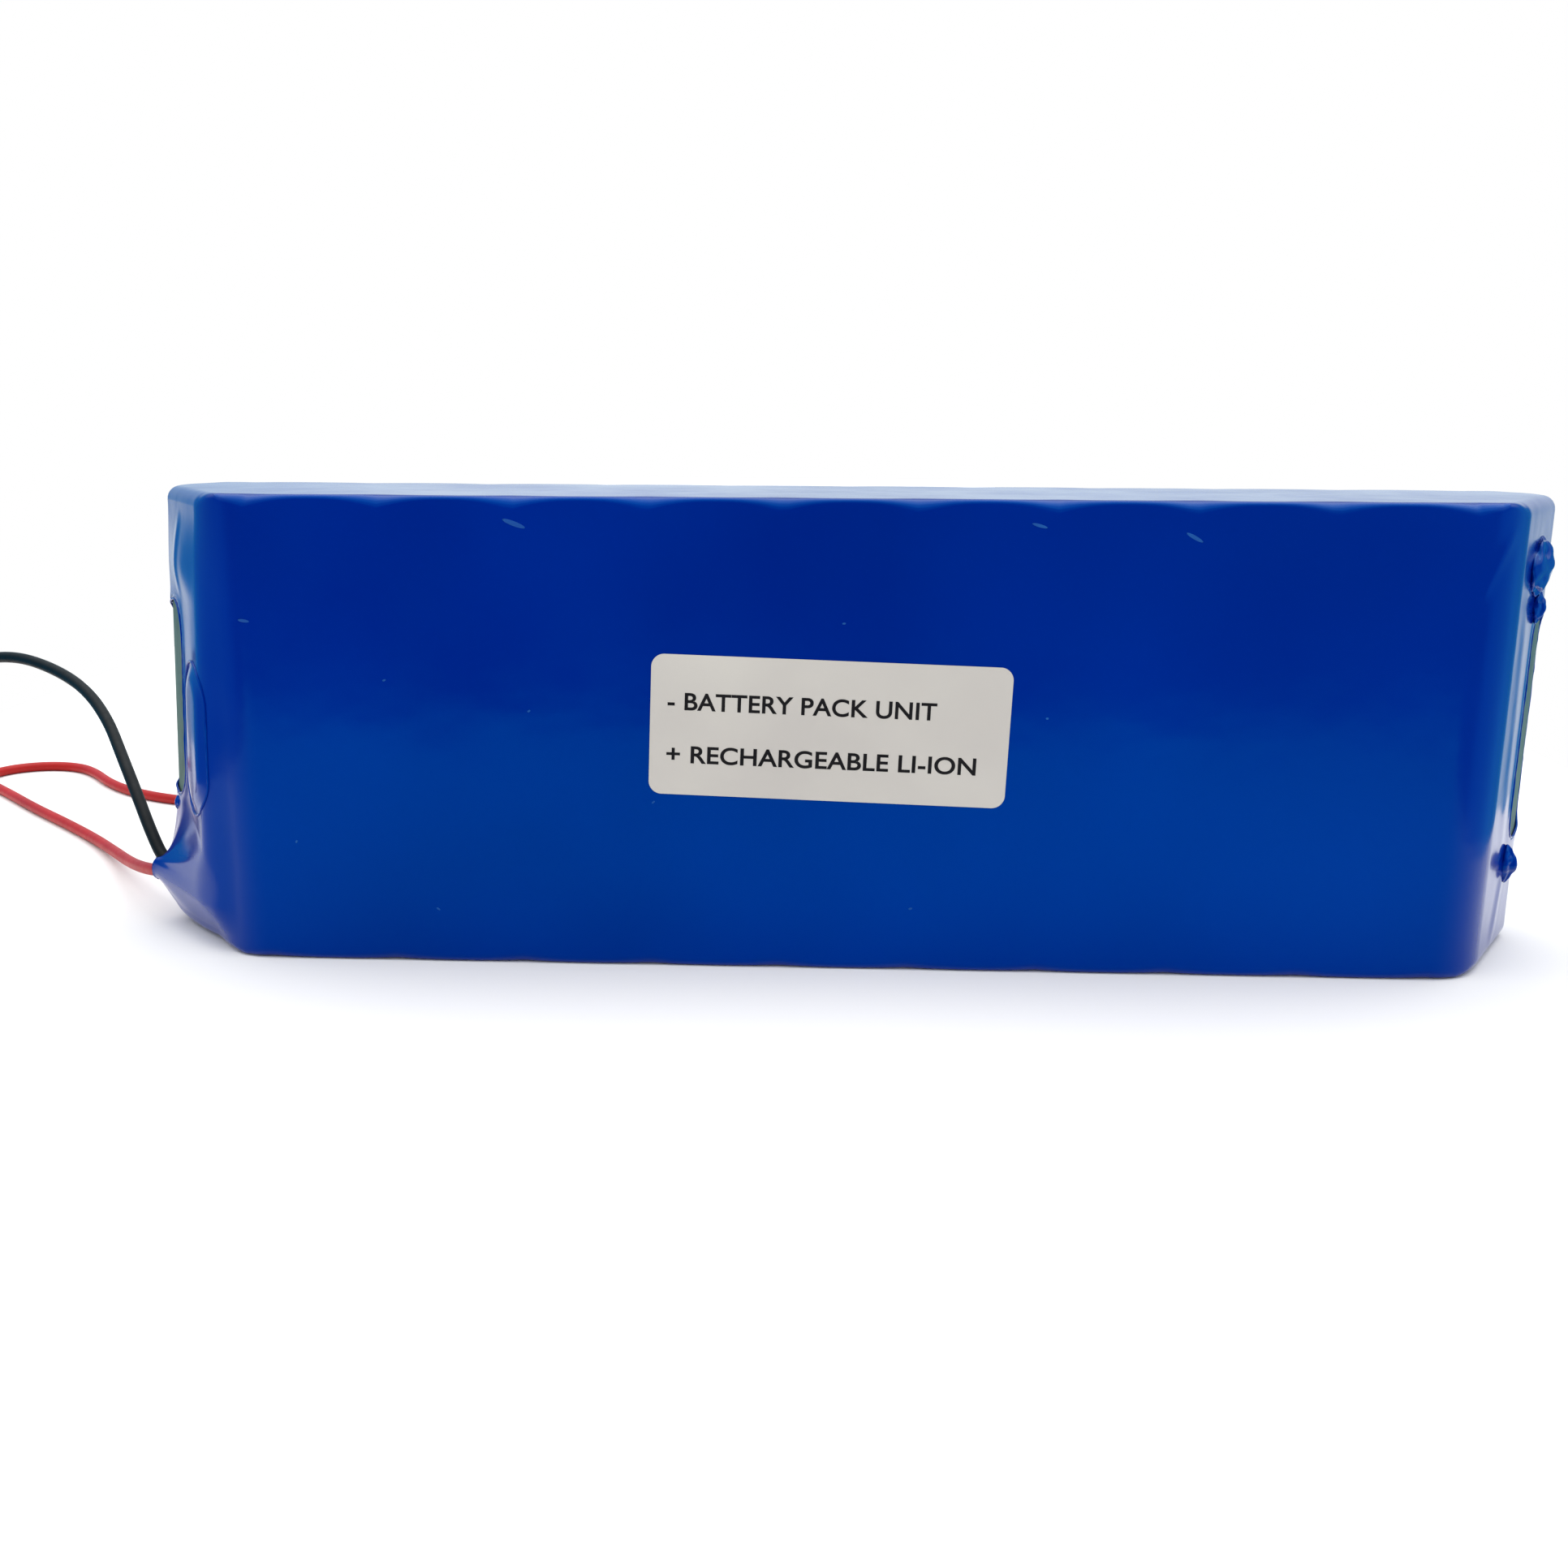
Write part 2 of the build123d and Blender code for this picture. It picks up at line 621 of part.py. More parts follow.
with BuildPart() as lead_red:
    add(tube(RED_ROUTE, LEAD_DIAMETER, "lead_red"))
    add([bms_pcb.part, solder_joints.part], mode=Mode.SUBTRACT)
save(lead_red, "lead_red")

# stripped and tinned ends
red_end = Vector(*RED_ROUTE[-1])
with BuildPart() as tip_red:
    with BuildSketch(Plane(origin=red_end, z_dir=red_end - Vector(*RED_ROUTE[-2]))):
        Circle(CORE_DIAMETER / 2)
    extrude(amount=TIP_LENGTH)
save(tip_red, "tip_red")

LAST_TURN = COIL_OUTER - LEAD_DIAMETER / 2
tip_start = COIL_CENTRE[1] - math.sqrt(COIL_OUTER ** 2 - LAST_TURN ** 2)
with BuildPart() as tip_black:
    with BuildSketch(Plane.XZ.offset(-(tip_start + 1.0))):
        with Locations((COIL_CENTRE[0] + LAST_TURN, COIL_HEIGHT / 2)):
            Circle(CORE_DIAMETER / 2)
    extrude(amount=TIP_LENGTH + 1.0)
    add(coil.part, mode=Mode.SUBTRACT)
save(tip_black, "tip_black")

# ---------------------------------------------------------------- heat-shrink film
# A thin shell: round-edged loop, a bulge over the leaning left board, and a nozzle that
# tapers to the two leads. Each end has a long opening where the tube's mouth did not close.
NOZZLE_BASE = (12.4, 10.4)
NOZZLE_MOUTH = (-104.7, 0.5, 8.6)
NOZZLE_AXIS = Vector(-0.82, 0.50, 0.28)
NOZZLE_SPREAD = Vector(0.3, -1.9, 2.1)
OPENING_LEFT = (17.6, 34.5, 11.0, 31.0)
OPENING_RIGHT = (17.4, 36.0, 9.0, 29.0)


def film_body(inset):
    """The film's outer shape, or the space inside it where the inset is the film's thickness."""
    with BuildPart() as body:
        add(outline(inset, FILM_OUT - inset, CORNER_RADIUS - inset))
        extrude(amount=HEIGHT - 2 * inset)
        rim = body.edges().group_by(Axis.Z)
        fillet(rim[0] + rim[-1], radius=EDGE_RADIUS - inset)
        with BuildSketch(profile_plane(inset - 0.3)):
            with BuildLine():
                Polyline(
                    (8.0, LEAN_TOP), (FILM_OUT - inset, LEAN_TOP),
                    (FILM_OUT + LEAN + 0.12 - inset, LEAN_BOTTOM - 0.5),
                    (FILM_OUT + LEAN + 0.12 - inset, 7.0),
                    (FILM_OUT - inset, 2.6), (8.0, 2.6), close=True,
                )
            make_face()
        extrude(amount=END_BOARD_LENGTH + 0.6 - 2 * inset)
    return body.part


def nozzle_body(inset, overrun):
    """The film's taper from the end face down to the two leads."""
    mouth = Plane(
        origin=Vector(*NOZZLE_MOUTH) + NOZZLE_AXIS.normalized() * overrun,
        x_dir=NOZZLE_SPREAD,
        z_dir=NOZZLE_AXIS,
    )
    with BuildPart() as taper:
        with BuildSketch(end_plane(-1, CELL_RADIUS + 1.4)):
            with Locations((-NOZZLE_BASE[0], NOZZLE_BASE[1])):
                RectangleRounded(14.0 - 2 * inset, 14.0 - 2 * inset, 4.0 - inset)
        with BuildSketch(mouth):
            RectangleRounded(5.7 - 2 * inset, 2.9 - 2 * inset, 1.35 - inset)
        loft()
    return taper.part


with BuildPart() as shrink_sleeve:
    add(film_body(0))
    add(nozzle_body(0, 0))
    add(film_body(FILM), mode=Mode.SUBTRACT)
    add(nozzle_body(FILM, 0.1), mode=Mode.SUBTRACT)
    for side, (along, z, width, height) in ((-1, OPENING_LEFT), (1, OPENING_RIGHT)):
        with BuildSketch(end_plane(side, 6.0)):
            with Locations((side * along, z)):
                SlotOverall(height, width, rotation=90)
        extrude(amount=8.0, mode=Mode.SUBTRACT)
    add([lead_black.part, lead_red.part], mode=Mode.SUBTRACT)
save(shrink_sleeve, "shrink_sleeve")

# ---------------------------------------------------------------- label
with BuildPart() as paper_label:
    with BuildSketch(Plane.XZ.offset(-FRONT_Y + FILM_OUT)):
        with Locations(Location((LABEL_CENTRE[0], LABEL_CENTRE[1], 0), (0, 0, LABEL_TURN))):
            RectangleRounded(LABEL_WIDTH, LABEL_HEIGHT, LABEL_RADIUS)
    extrude(amount=LABEL_THICKNESS)
save(paper_label, "label")
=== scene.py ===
import json
import math
import bmesh
import bpy
import numpy as np
from mathutils import Matrix, Vector, noise


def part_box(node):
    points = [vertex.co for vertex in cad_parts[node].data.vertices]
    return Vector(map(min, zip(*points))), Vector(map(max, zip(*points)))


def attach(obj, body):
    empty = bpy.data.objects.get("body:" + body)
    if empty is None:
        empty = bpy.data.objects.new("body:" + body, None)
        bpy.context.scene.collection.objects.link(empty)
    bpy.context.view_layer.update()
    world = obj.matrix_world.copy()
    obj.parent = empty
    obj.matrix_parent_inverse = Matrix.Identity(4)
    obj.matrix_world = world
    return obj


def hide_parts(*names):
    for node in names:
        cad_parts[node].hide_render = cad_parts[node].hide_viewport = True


# A 3S7P battery pack in blue heat-shrink film. The frame is the CAD frame, in metres. Shapes are
# worked out in millimetres and scaled when their mesh is made.

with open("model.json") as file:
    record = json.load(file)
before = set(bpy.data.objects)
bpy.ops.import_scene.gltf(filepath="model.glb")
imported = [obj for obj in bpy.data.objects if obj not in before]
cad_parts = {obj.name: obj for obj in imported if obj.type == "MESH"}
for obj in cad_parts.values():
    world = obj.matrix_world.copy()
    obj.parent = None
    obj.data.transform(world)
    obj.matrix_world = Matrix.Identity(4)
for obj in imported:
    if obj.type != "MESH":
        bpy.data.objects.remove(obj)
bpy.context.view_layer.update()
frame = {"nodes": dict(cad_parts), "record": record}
nodes = frame["nodes"]
scene = bpy.context.scene
MM = 0.001

# ---------------------------------------------------------------- camera
CAMERA_PLACE = (-4.70, -258.58, 79.37)
CAMERA_YAW = math.radians(-2.69)
CAMERA_PITCH = math.radians(14.97)
CAMERA_ROLL = math.radians(0.28)

forward = Vector((
    math.sin(CAMERA_YAW) * math.cos(CAMERA_PITCH),
    math.cos(CAMERA_YAW) * math.cos(CAMERA_PITCH),
    -math.sin(CAMERA_PITCH),
))
level_right = Vector((math.cos(CAMERA_YAW), -math.sin(CAMERA_YAW), 0))
level_up = level_right.cross(forward)
right = math.cos(CAMERA_ROLL) * level_right + math.sin(CAMERA_ROLL) * level_up
up = -math.sin(CAMERA_ROLL) * level_right + math.cos(CAMERA_ROLL) * level_up

camera_data = bpy.data.cameras.new("camera")
camera_data.sensor_width = 36
camera_data.lens = 40.16
camera_data.shift_x = 0.0336
camera_data.shift_y = 0.0532
camera_data.clip_start = 0.01
camera_data.clip_end = 50
camera = bpy.data.objects.new("camera", camera_data)
camera.matrix_world = Matrix.Translation(Vector(CAMERA_PLACE) * MM) @ Matrix(
    (right, up, -forward)
).transposed().to_4x4()
scene.collection.objects.link(camera)
scene.camera = camera
scene.view_settings.view_transform = "Standard"


# ---------------------------------------------------------------- materials
def new_material(name):
    """An empty material with its shader and object coordinates."""
    made = bpy.data.materials.new(name)
    made.use_nodes = True
    tree = made.node_tree
    shader = tree.nodes["Principled BSDF"]
    place = tree.nodes.new("ShaderNodeTexCoord").outputs["Object"]
    return made, tree, shader, place


def noise_node(tree, place, scale, detail, rough, stretch=(1, 1, 1)):
    """A noise pattern over the object's own coordinates, from 0 to 1."""
    mapping = tree.nodes.new("ShaderNodeMapping")
    mapping.inputs["Scale"].default_value = stretch
    pattern = tree.nodes.new("ShaderNodeTexNoise")
    pattern.inputs["Scale"].default_value = scale
    pattern.inputs["Detail"].default_value = detail
    pattern.inputs["Roughness"].default_value = rough
    tree.links.new(place, mapping.inputs["Vector"])
    tree.links.new(mapping.outputs["Vector"], pattern.inputs["Vector"])
    return pattern.outputs["Fac"]


def ramp(tree, factor, dark, light, low=0.3, high=0.7):
    """A colour between two, by a pattern."""
    node = tree.nodes.new("ShaderNodeValToRGB")
    node.color_ramp.elements[0].position = low
    node.color_ramp.elements[1].position = high
    node.color_ramp.elements[0].color = (*dark, 1)
    node.color_ramp.elements[1].color = (*light, 1)
    tree.links.new(factor, node.inputs["Fac"])
    return node.outputs["Color"]


def spread(tree, factor, low, high):
    """A number between two, by a pattern."""
    node = tree.nodes.new("ShaderNodeMapRange")
    node.inputs["From Min"].default_value = 0.3
    node.inputs["From Max"].default_value = 0.7
    node.inputs["To Min"].default_value = low
    node.inputs["To Max"].default_value = high
    tree.links.new(factor, node.inputs["Value"])
    return node.outputs["Result"]


def bump(tree, shader, height, distance, strength=1.0):
    """Relief on the shader, on top of any that it has."""
    node = tree.nodes.new("ShaderNodeBump")
    node.inputs["Distance"].default_value = distance
    node.inputs["Strength"].default_value = strength
    tree.links.new(height, node.inputs["Height"])
    if shader.inputs["Normal"].is_linked:
        tree.links.new(shader.inputs["Normal"].links[0].from_socket, node.inputs["Normal"])
    tree.links.new(node.outputs["Normal"], shader.inputs["Normal"])


def finish(
    name, dark, light, scale, rough, metallic=0.0, depth=2e-5, stretch=(1, 1, 1), coat=0.0, specular=0.5
):
    """A material whose colour, gloss and fine relief vary with noise of a given scale per metre."""
    made, tree, shader, place = new_material(name)
    broad = noise_node(tree, place, scale / 6, 2.0, 0.5, stretch)
    fine = noise_node(tree, place, scale, 4.0, 0.6, stretch)
    tree.links.new(ramp(tree, broad, dark, light), shader.inputs["Base Color"])
    tree.links.new(spread(tree, fine, *rough), shader.inputs["Roughness"])
    shader.inputs["Metallic"].default_value = metallic
    shader.inputs["Coat Weight"].default_value = coat
    shader.inputs["Specular IOR Level"].default_value = specular
    bump(tree, shader, fine, depth)
    return made


def film_material():
    """Glossy blue PVC film: broad shade, faint orange peel and a few rubbed places."""
    made, tree, shader, place = new_material("film")
    broad = noise_node(tree, place, 22, 2.0, 0.5)
    peel = noise_node(tree, place, 420, 2.0, 0.5)
    waves = noise_node(tree, place, 70, 2.0, 0.5, (1, 1, 1.6))
    rubbed = noise_node(tree, place, 55, 4.0, 0.65)
    tree.links.new(
        ramp(tree, broad, (0.0, 0.0094, 0.188), (0.0, 0.0148, 0.23)), shader.inputs["Base Color"]
    )
    tree.links.new(spread(tree, rubbed, 0.10, 0.19), shader.inputs["Roughness"])
    shader.inputs["IOR"].default_value = 1.54
    shader.inputs["Specular Tint"].default_value = (0.0, 0.42, 1.0, 1)
    bump(tree, shader, waves, 1.2e-4, 0.5)
    bump(tree, shader, peel, 6e-6)
    return made


FILM = film_material()
SCUFFED_FILM = finish(
    "scuffed_film", (0.0, 0.05, 0.27), (0.004, 0.085, 0.32), 900, (0.45, 0.6), depth=1e-5,
    specular=0.2,
)
LABEL_PAPER = finish(
    "label_paper", (0.49, 0.462, 0.43), (0.565, 0.54, 0.492), 240, (0.42, 0.6), depth=1e-5,
)
LABEL_INK = finish(
    "label_ink", (0.006, 0.005, 0.006), (0.01, 0.009, 0.01), 900, (0.5, 0.7), depth=4e-6,
    specular=0.1,
)
BLACK_PVC = finish(
    "black_pvc", (0.001, 0.0013, 0.0018), (0.003, 0.0034, 0.004), 700, (0.42, 0.55), depth=8e-6,
    specular=0.15,
)
RED_PVC = finish(
    "red_pvc", (0.36, 0.003, 0.002), (0.43, 0.006, 0.004), 700, (0.42, 0.55), depth=8e-6,
    specular=0.3,
)
TINNED = finish("tinned", (0.60, 0.60, 0.60), (0.74, 0.73, 0.71), 1600, (0.22, 0.4), 1.0, 6e-6)
FIBRE_BOARD = finish(
    "fibre_board", (0.045, 0.085, 0.062), (0.085, 0.14, 0.11), 1100, (0.5, 0.75), depth=5e-5,
    stretch=(1, 1, 0.35),
)
STEEL = finish(
    "can_steel", (0.50, 0.51, 0.52), (0.62, 0.63, 0.64), 900, (0.25, 0.4), 1.0, 5e-6, (1, 1, 0.1),
)
CELL_WRAP = finish("cell_wrap", (0.05, 0.20, 0.11), (0.07, 0.26, 0.15), 400, (0.2, 0.32), depth=1e-5)
NICKEL = finish(
    "nickel", (0.55, 0.53, 0.49), (0.68, 0.66, 0.62), 1200, (0.22, 0.38), 1.0, 8e-6, (0.1, 1, 1),
)
GASKET = finish("gasket", (0.008, 0.008, 0.009), (0.02, 0.02, 0.022), 900, (0.5, 0.7))
FIBRE_RING = finish("fibre_ring", (0.62, 0.61, 0.57), (0.74, 0.73, 0.70), 1500, (0.75, 0.9), depth=3e-5)
GLUE = finish("glue", (0.66, 0.66, 0.62), (0.78, 0.78, 0.75), 500, (0.3, 0.5), depth=6e-5)
FISH_PAPER = finish("fish_paper", (0.10, 0.15, 0.13), (0.15, 0.21, 0.18), 900, (0.6, 0.8), depth=3e-5)
CIRCUIT_BOARD = finish(
    "circuit_board", (0.004, 0.045, 0.015), (0.008, 0.07, 0.025), 800, (0.25, 0.4), coat=0.3,
)
CHIP_PLASTIC = finish("chip_plastic", (0.004, 0.004, 0.0045), (0.01, 0.01, 0.011), 2200, (0.5, 0.65))
CERAMIC = finish("resistor_ceramic", (0.006, 0.006, 0.006), (0.02, 0.02, 0.02), 1800, (0.3, 0.5))
SOLDER = finish("solder", (0.60, 0.60, 0.61), (0.76, 0.76, 0.77), 1300, (0.14, 0.3), 1.0, 2e-5)
SENSE_WIRE = finish("sense_wire", (0.62, 0.42, 0.01), (0.72, 0.52, 0.02), 900, (0.3, 0.45))

SLOT_MATERIALS = {
    "can_steel": STEEL, "cell_wrap": CELL_WRAP, "nickel_plate": NICKEL, "gasket_plastic": GASKET,
    "fibre_ring": FIBRE_RING, "glue": GLUE, "nickel_strip": NICKEL, "fish_paper": FISH_PAPER,
    "glass_epoxy": FIBRE_BOARD, "circuit_board": CIRCUIT_BOARD, "chip_plastic": CHIP_PLASTIC,
    "resistor_ceramic": CERAMIC, "solder": SOLDER, "sense_wire": SENSE_WIRE,
    "lead_red": RED_PVC, "lead_black": BLACK_PVC, "tinned_copper": TINNED,
    "shrink_film": FILM, "label_paper": LABEL_PAPER,
}
for part in frame["record"]["subparts"]:
    mesh = nodes[part["node"]].data
    mesh.materials.clear()
    mesh.materials.append(SLOT_MATERIALS[part["material_slot"]])


SAME_PLACE = 1e-7


def add_mesh(name, points, faces, material, closed=True):
    """A piece from points in millimetres, riding on the pack; a closed one faces outward."""
    mesh = bpy.data.meshes.new(name)
    mesh.from_pydata([tuple(point) for point in np.asarray(points) * MM], [], faces)
    mesh.validate()
    if closed:
        shell = bmesh.new()
        shell.from_mesh(mesh)
        bmesh.ops.remove_doubles(shell, verts=shell.verts, dist=SAME_PLACE)
        bmesh.ops.recalc_face_normals(shell, faces=shell.faces)
        shell.to_mesh(mesh)
        shell.free()
    mesh.materials.append(material)
    mesh.polygons.foreach_set("use_smooth", [True] * len(mesh.polygons))
    piece = bpy.data.objects.new(name, mesh)
    scene.collection.objects.link(piece)
    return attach(piece, "root")


# ---------------------------------------------------------------- leads
LEAD_DIAMETER = 0.00195
TIP_LENGTH = 6.0
STRAND_RADIUS = 0.18
COIL_CENTRE = (-0.1852, 0.050)
COIL_START_RADIUS = 0.0093
COIL_PITCH = 0.0020
COIL_TURNS = 2
POINTS_A_TURN = 16

BLACK_ROUTE = [
    (-0.0979, -0.0036, 0.0083), (-0.1015, -0.0022, 0.0084), (-0.1052, 0.0, 0.0098),
    (-0.1082, 0.0034, 0.0134), (-0.1120, 0.0088, 0.0178), (-0.1172, 0.0166, 0.0228),
    (-0.1224, 0.0248, 0.0272), (-0.1290, 0.0330, 0.0308), (-0.1376, 0.0412, 0.0330),
    (-0.1480, 0.0490, 0.0342), (-0.1584, 0.0556, 0.0326), (-0.1670, 0.0604, 0.0268),
    (-0.1726, 0.0618, 0.0184), (-0.1752, 0.0596, 0.0096), (-0.1756, 0.0544, 0.0034),
]
RED_ROUTE = [
    (-0.0998, -0.0003, 0.0069), (-0.1032, 0.0008, 0.0074), (-0.1074, 0.0038, 0.0070),
    (-0.1130, 0.0112, 0.0054), (-0.1196, 0.0220, 0.0034), (-0.1274, 0.0348, 0.0018),
    (-0.1360, 0.0470, 0.0010), (-0.1464, 0.0586, 0.0010), (-0.1576, 0.0704, 0.0010),
    (-0.1680, 0.0824, 0.0010), (-0.1749, 0.0899, 0.0010), (-0.1798, 0.0957, 0.0010),
    (-0.1806, 0.1022, 0.0010), (-0.1774, 0.1080, 0.0010), (-0.1714, 0.1108, 0.0010),
    (-0.1649, 0.1096, 0.0010), (-0.1592, 0.1044, 0.0010), (-0.1526, 0.0949, 0.0010),
    (-0.1452, 0.0870, 0.0010), (-0.1360, 0.0808, 0.0010), (-0.1250, 0.0770, 0.0010),
    (-0.1126, 0.0732, 0.0010), (-0.1010, 0.0660, 0.0010), (-0.0918, 0.0556, 0.0010),
    (-0.0836, 0.0458, 0.0010),
]

coil_points = []
for step in range(COIL_TURNS * POINTS_A_TURN + 1):
    turn = step / POINTS_A_TURN
    radius = COIL_START_RADIUS + COIL_PITCH * turn
    angle = -2 * math.pi * turn
    height = LEAD_DIAMETER / 2 + 0.0004 * max(0.0, 1 - 6 * turn)
    coil_points.append((
        COIL_CENTRE[0] + radius * math.cos(angle), COIL_CENTRE[1] + radius * math.sin(angle), height
    ))
lead_end = (coil_points[-1][0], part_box("tip_black")[1].y, LEAD_DIAMETER / 2)


def lead(name, route, material):
    """A round lead whose line is a smooth spline with the route as its control points."""
    curve = bpy.data.curves.new(name, "CURVE")
    curve.dimensions = "3D"
    curve.bevel_depth = LEAD_DIAMETER / 2
    curve.bevel_resolution = 6
    curve.resolution_u = 10
    curve.use_fill_caps = True
    spline = curve.splines.new("NURBS")
    spline.points.add(len(route) - 1)
    for point, place in zip(spline.points, route):
        point.co = (*place, 1)
    spline.order_u = 3
    spline.use_endpoint_u = True
    curve.materials.append(material)
    piece = bpy.data.objects.new(name, curve)
    scene.collection.objects.link(piece)
    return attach(piece, "root")


def stranded_tip(name, start, along):
    """Seven twisted and tinned strands, from a lead's end in a level direction."""
    start = np.array(start) / MM
    along = np.array(along) / np.linalg.norm(along)
    side = np.array((-along[1], along[0], 0.0))
    rise = np.array((0.0, 0.0, 1.0))
    points, faces = [], []
    rings, sides, twist = 26, 10, math.radians(300)
    for strand in range(7):
        for ring in range(rings):
            share = ring / (rings - 1)
            angle = strand * math.pi / 3 + twist * share
            out = 0.0 if strand == 6 else 2 * STRAND_RADIUS
            centre = start + along * TIP_LENGTH * share
            centre = centre + out * (side * math.cos(angle) + rise * math.sin(angle))
            taper = 1.0 if 0 < ring < rings - 1 else 0.8
            for corner in range(sides):
                turn = 2 * math.pi * corner / sides
                offset = side * math.cos(turn) + rise * math.sin(turn)
                points.append(centre + STRAND_RADIUS * taper * offset)
        base = strand * rings * sides
        for ring in range(rings - 1):
            for corner in range(sides):
                here = base + ring * sides + corner
                beside = base + ring * sides + (corner + 1) % sides
                faces.append((here, here + sides, beside + sides, beside))
        faces.append(tuple(base + corner for corner in range(sides)))
        last = base + (rings - 1) * sides
        faces.append(tuple(last + corner for corner in reversed(range(sides))))
    return add_mesh(name, points, faces, TINNED)


def spline_length(piece):
    """The length of a lead's own line."""
    bare = piece.copy()
    bare.data = piece.data.copy()
    bare.data.bevel_depth = 0
    scene.collection.objects.link(bare)
    bpy.context.view_layer.update()
    line = bpy.data.meshes.new_from_object(bare.evaluated_get(bpy.context.evaluated_depsgraph_get()))
    ends = [[line.vertices[i].co for i in edge.vertices] for edge in line.edges]
    bpy.data.objects.remove(bare)
    return sum((b - a).length for a, b in ends)


lead_black = lead("lead_black_insulation", BLACK_ROUTE + coil_points + [lead_end], BLACK_PVC)
lead_red = lead("lead_red_insulation", RED_ROUTE, RED_PVC)
strands_black = stranded_tip("strands_black", lead_end, (0.0, -1.0, 0.0))
strands_red = stranded_tip("strands_red", RED_ROUTE[-1], np.subtract(RED_ROUTE[-1], RED_ROUTE[-2]))
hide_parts("lead_black", "coil_black")
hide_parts("lead_red")
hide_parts("tip_black")
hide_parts("tip_red")
print("lead lengths", round(spline_length(lead_black), 4), round(spline_length(lead_red), 4))


# ---------------------------------------------------------------- film
def cell_axis(name):
    """A cell's axis in plan, in millimetres."""
    low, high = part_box(name)
    return np.array(((low.x + high.x) / 2, (low.y + high.y) / 2)) / MM


FACE_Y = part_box("label")[1].y / MM
BACK_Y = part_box("shrink_sleeve")[1].y / MM
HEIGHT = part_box("shrink_sleeve")[1].z / MM
PITCH = 18.5
FRONT_LEFT, FRONT_RIGHT = cell_axis("cell_02"), cell_axis("cell_20")
BACK_LEFT, BACK_RIGHT = cell_axis("cell_01"), cell_axis("cell_21")
REACH = FRONT_LEFT[1] - FACE_Y
BACK_SHIFT = BACK_Y - REACH - BACK_LEFT[1]
END_LENGTH = 20.0
CORNER_RADIUS = 2.4
LEAN = 2.12
LEAN_LOW, LEAN_HIGH = 14.5, 64.0
DENSE_FROM = 80.0
FINE_STEP, COARSE_STEP = 0.42, 1.25
EDGE_STEPS = 7
FACE_STEPS = 12
# rows of the sides, as shares of their height: close together low down, by the nozzle
SIDE_STEP, SIDE_DENSE_TO, SIDE_STEPS_ABOVE = 0.0068, 0.32, 54
FILM_THICKNESS = 0.0002
WELD_DISTANCE = 2e-5

# how far below an end's face its film still belongs to the end
END_DEPTH = -7
# edge radius of the film on a plain stretch, and what a cell's crown and the ends add to it
TOP_EDGE = (0.75, 1.6, 1.3)
BOTTOM_EDGE = (1.0, 0.7, 1.0)
# size and height of the film's broad and fine unevenness
BROAD_SIZE, BROAD_HEIGHT = 16.0, 0.035
SMALL_SIZE, SMALL_HEIGHT = 4.5, 0.012
# the raised hem round an opening: height, distance from its edge, and width
HEM_HEIGHT, HEM_OUT, HEM_WIDTH = 0.10, 0.6, 1.1
# points this near to an opening's edge move onto it, and points further inside are left out
EDGE_REACH = 0.30
# the left end's gathered film: its height, and where along the end it starts and how far it goes
BULGE_HEIGHT, BULGE_START, BULGE_LENGTH = 0.75, -5, 29
SHOULDER_HEIGHT, SHOULDER_START, SHOULDER_LENGTH = 0.25, -6, 18
CUSHION_HEIGHT = 0.45
# folds: from, to, width and height, as along and z on an end, or x and z on the front
LEFT_FOLDS = (((11.5, 62), (12.5, 52), 1.4, 0.18),)
RIGHT_FOLDS = (((5.0, 53), (8.0, 14), 2.4, 0.10), ((12, 13), (8, 3), 1.6, 0.26))
FRONT_CREASE = ((88.6, 62.6), (84.4, 54.0), 0.7, 0.22)


def smooth(low, high, value):
    """0 below low, 1 above high, and a smooth rise between."""
    share = np.clip((value - low) / (high - low), 0, 1)
    return share * share * (3 - 2 * share)


class End:
    """One slanted end: distance along it from its front corner cell, and height over its face."""

    def __init__(self, side, corner):
        self.side = side
        self.along = np.array((side * 0.5, math.sqrt(0.75), 0.0))
        self.out = np.array((side * math.sqrt(0.75), -0.5, 0.0))
        self.origin = np.array((*corner, 0.0)) + self.out * REACH

    def local(self, points):
        """Along, over and z of some points."""
        moved = points - self.origin
        return moved @ self.along, moved @ self.out, points[..., 2]

    def point(self, along, over, z):
        """A point, or several, from along, over and z."""
        along, over, z = (np.asarray(value, float)[..., None] for value in (along, over, z))
        return self.origin + along * self.along + over * self.out + z * np.array((0, 0, 1.0))


LEFT, RIGHT = End(-1, FRONT_LEFT), End(1, FRONT_RIGHT)


def plan_outline():
    """The tight loop round the corner cells and end edges, as dense points with their normals."""
    circles = [(FRONT_LEFT, REACH), (FRONT_RIGHT, REACH)]
    circles += [(corner + (0, BACK_SHIFT), REACH) for corner in (BACK_LEFT, BACK_RIGHT)]
    circles += [(end.point(END_LENGTH, -CORNER_RADIUS, 0)[:2], CORNER_RADIUS) for end in (LEFT, RIGHT)]
    angles = np.linspace(-math.pi / 2, 1.5 * math.pi, 2880, endpoint=False)
    normals = np.stack((np.cos(angles), np.sin(angles)), 1)
    reach = np.stack([normals @ centre + radius for centre, radius in circles])
    best = reach.argmax(0)
    centres = np.array([circle[0] for circle in circles])[best]
    radii = np.array([circle[1] for circle in circles])[best]
    return centres + radii[:, None] * normals, normals


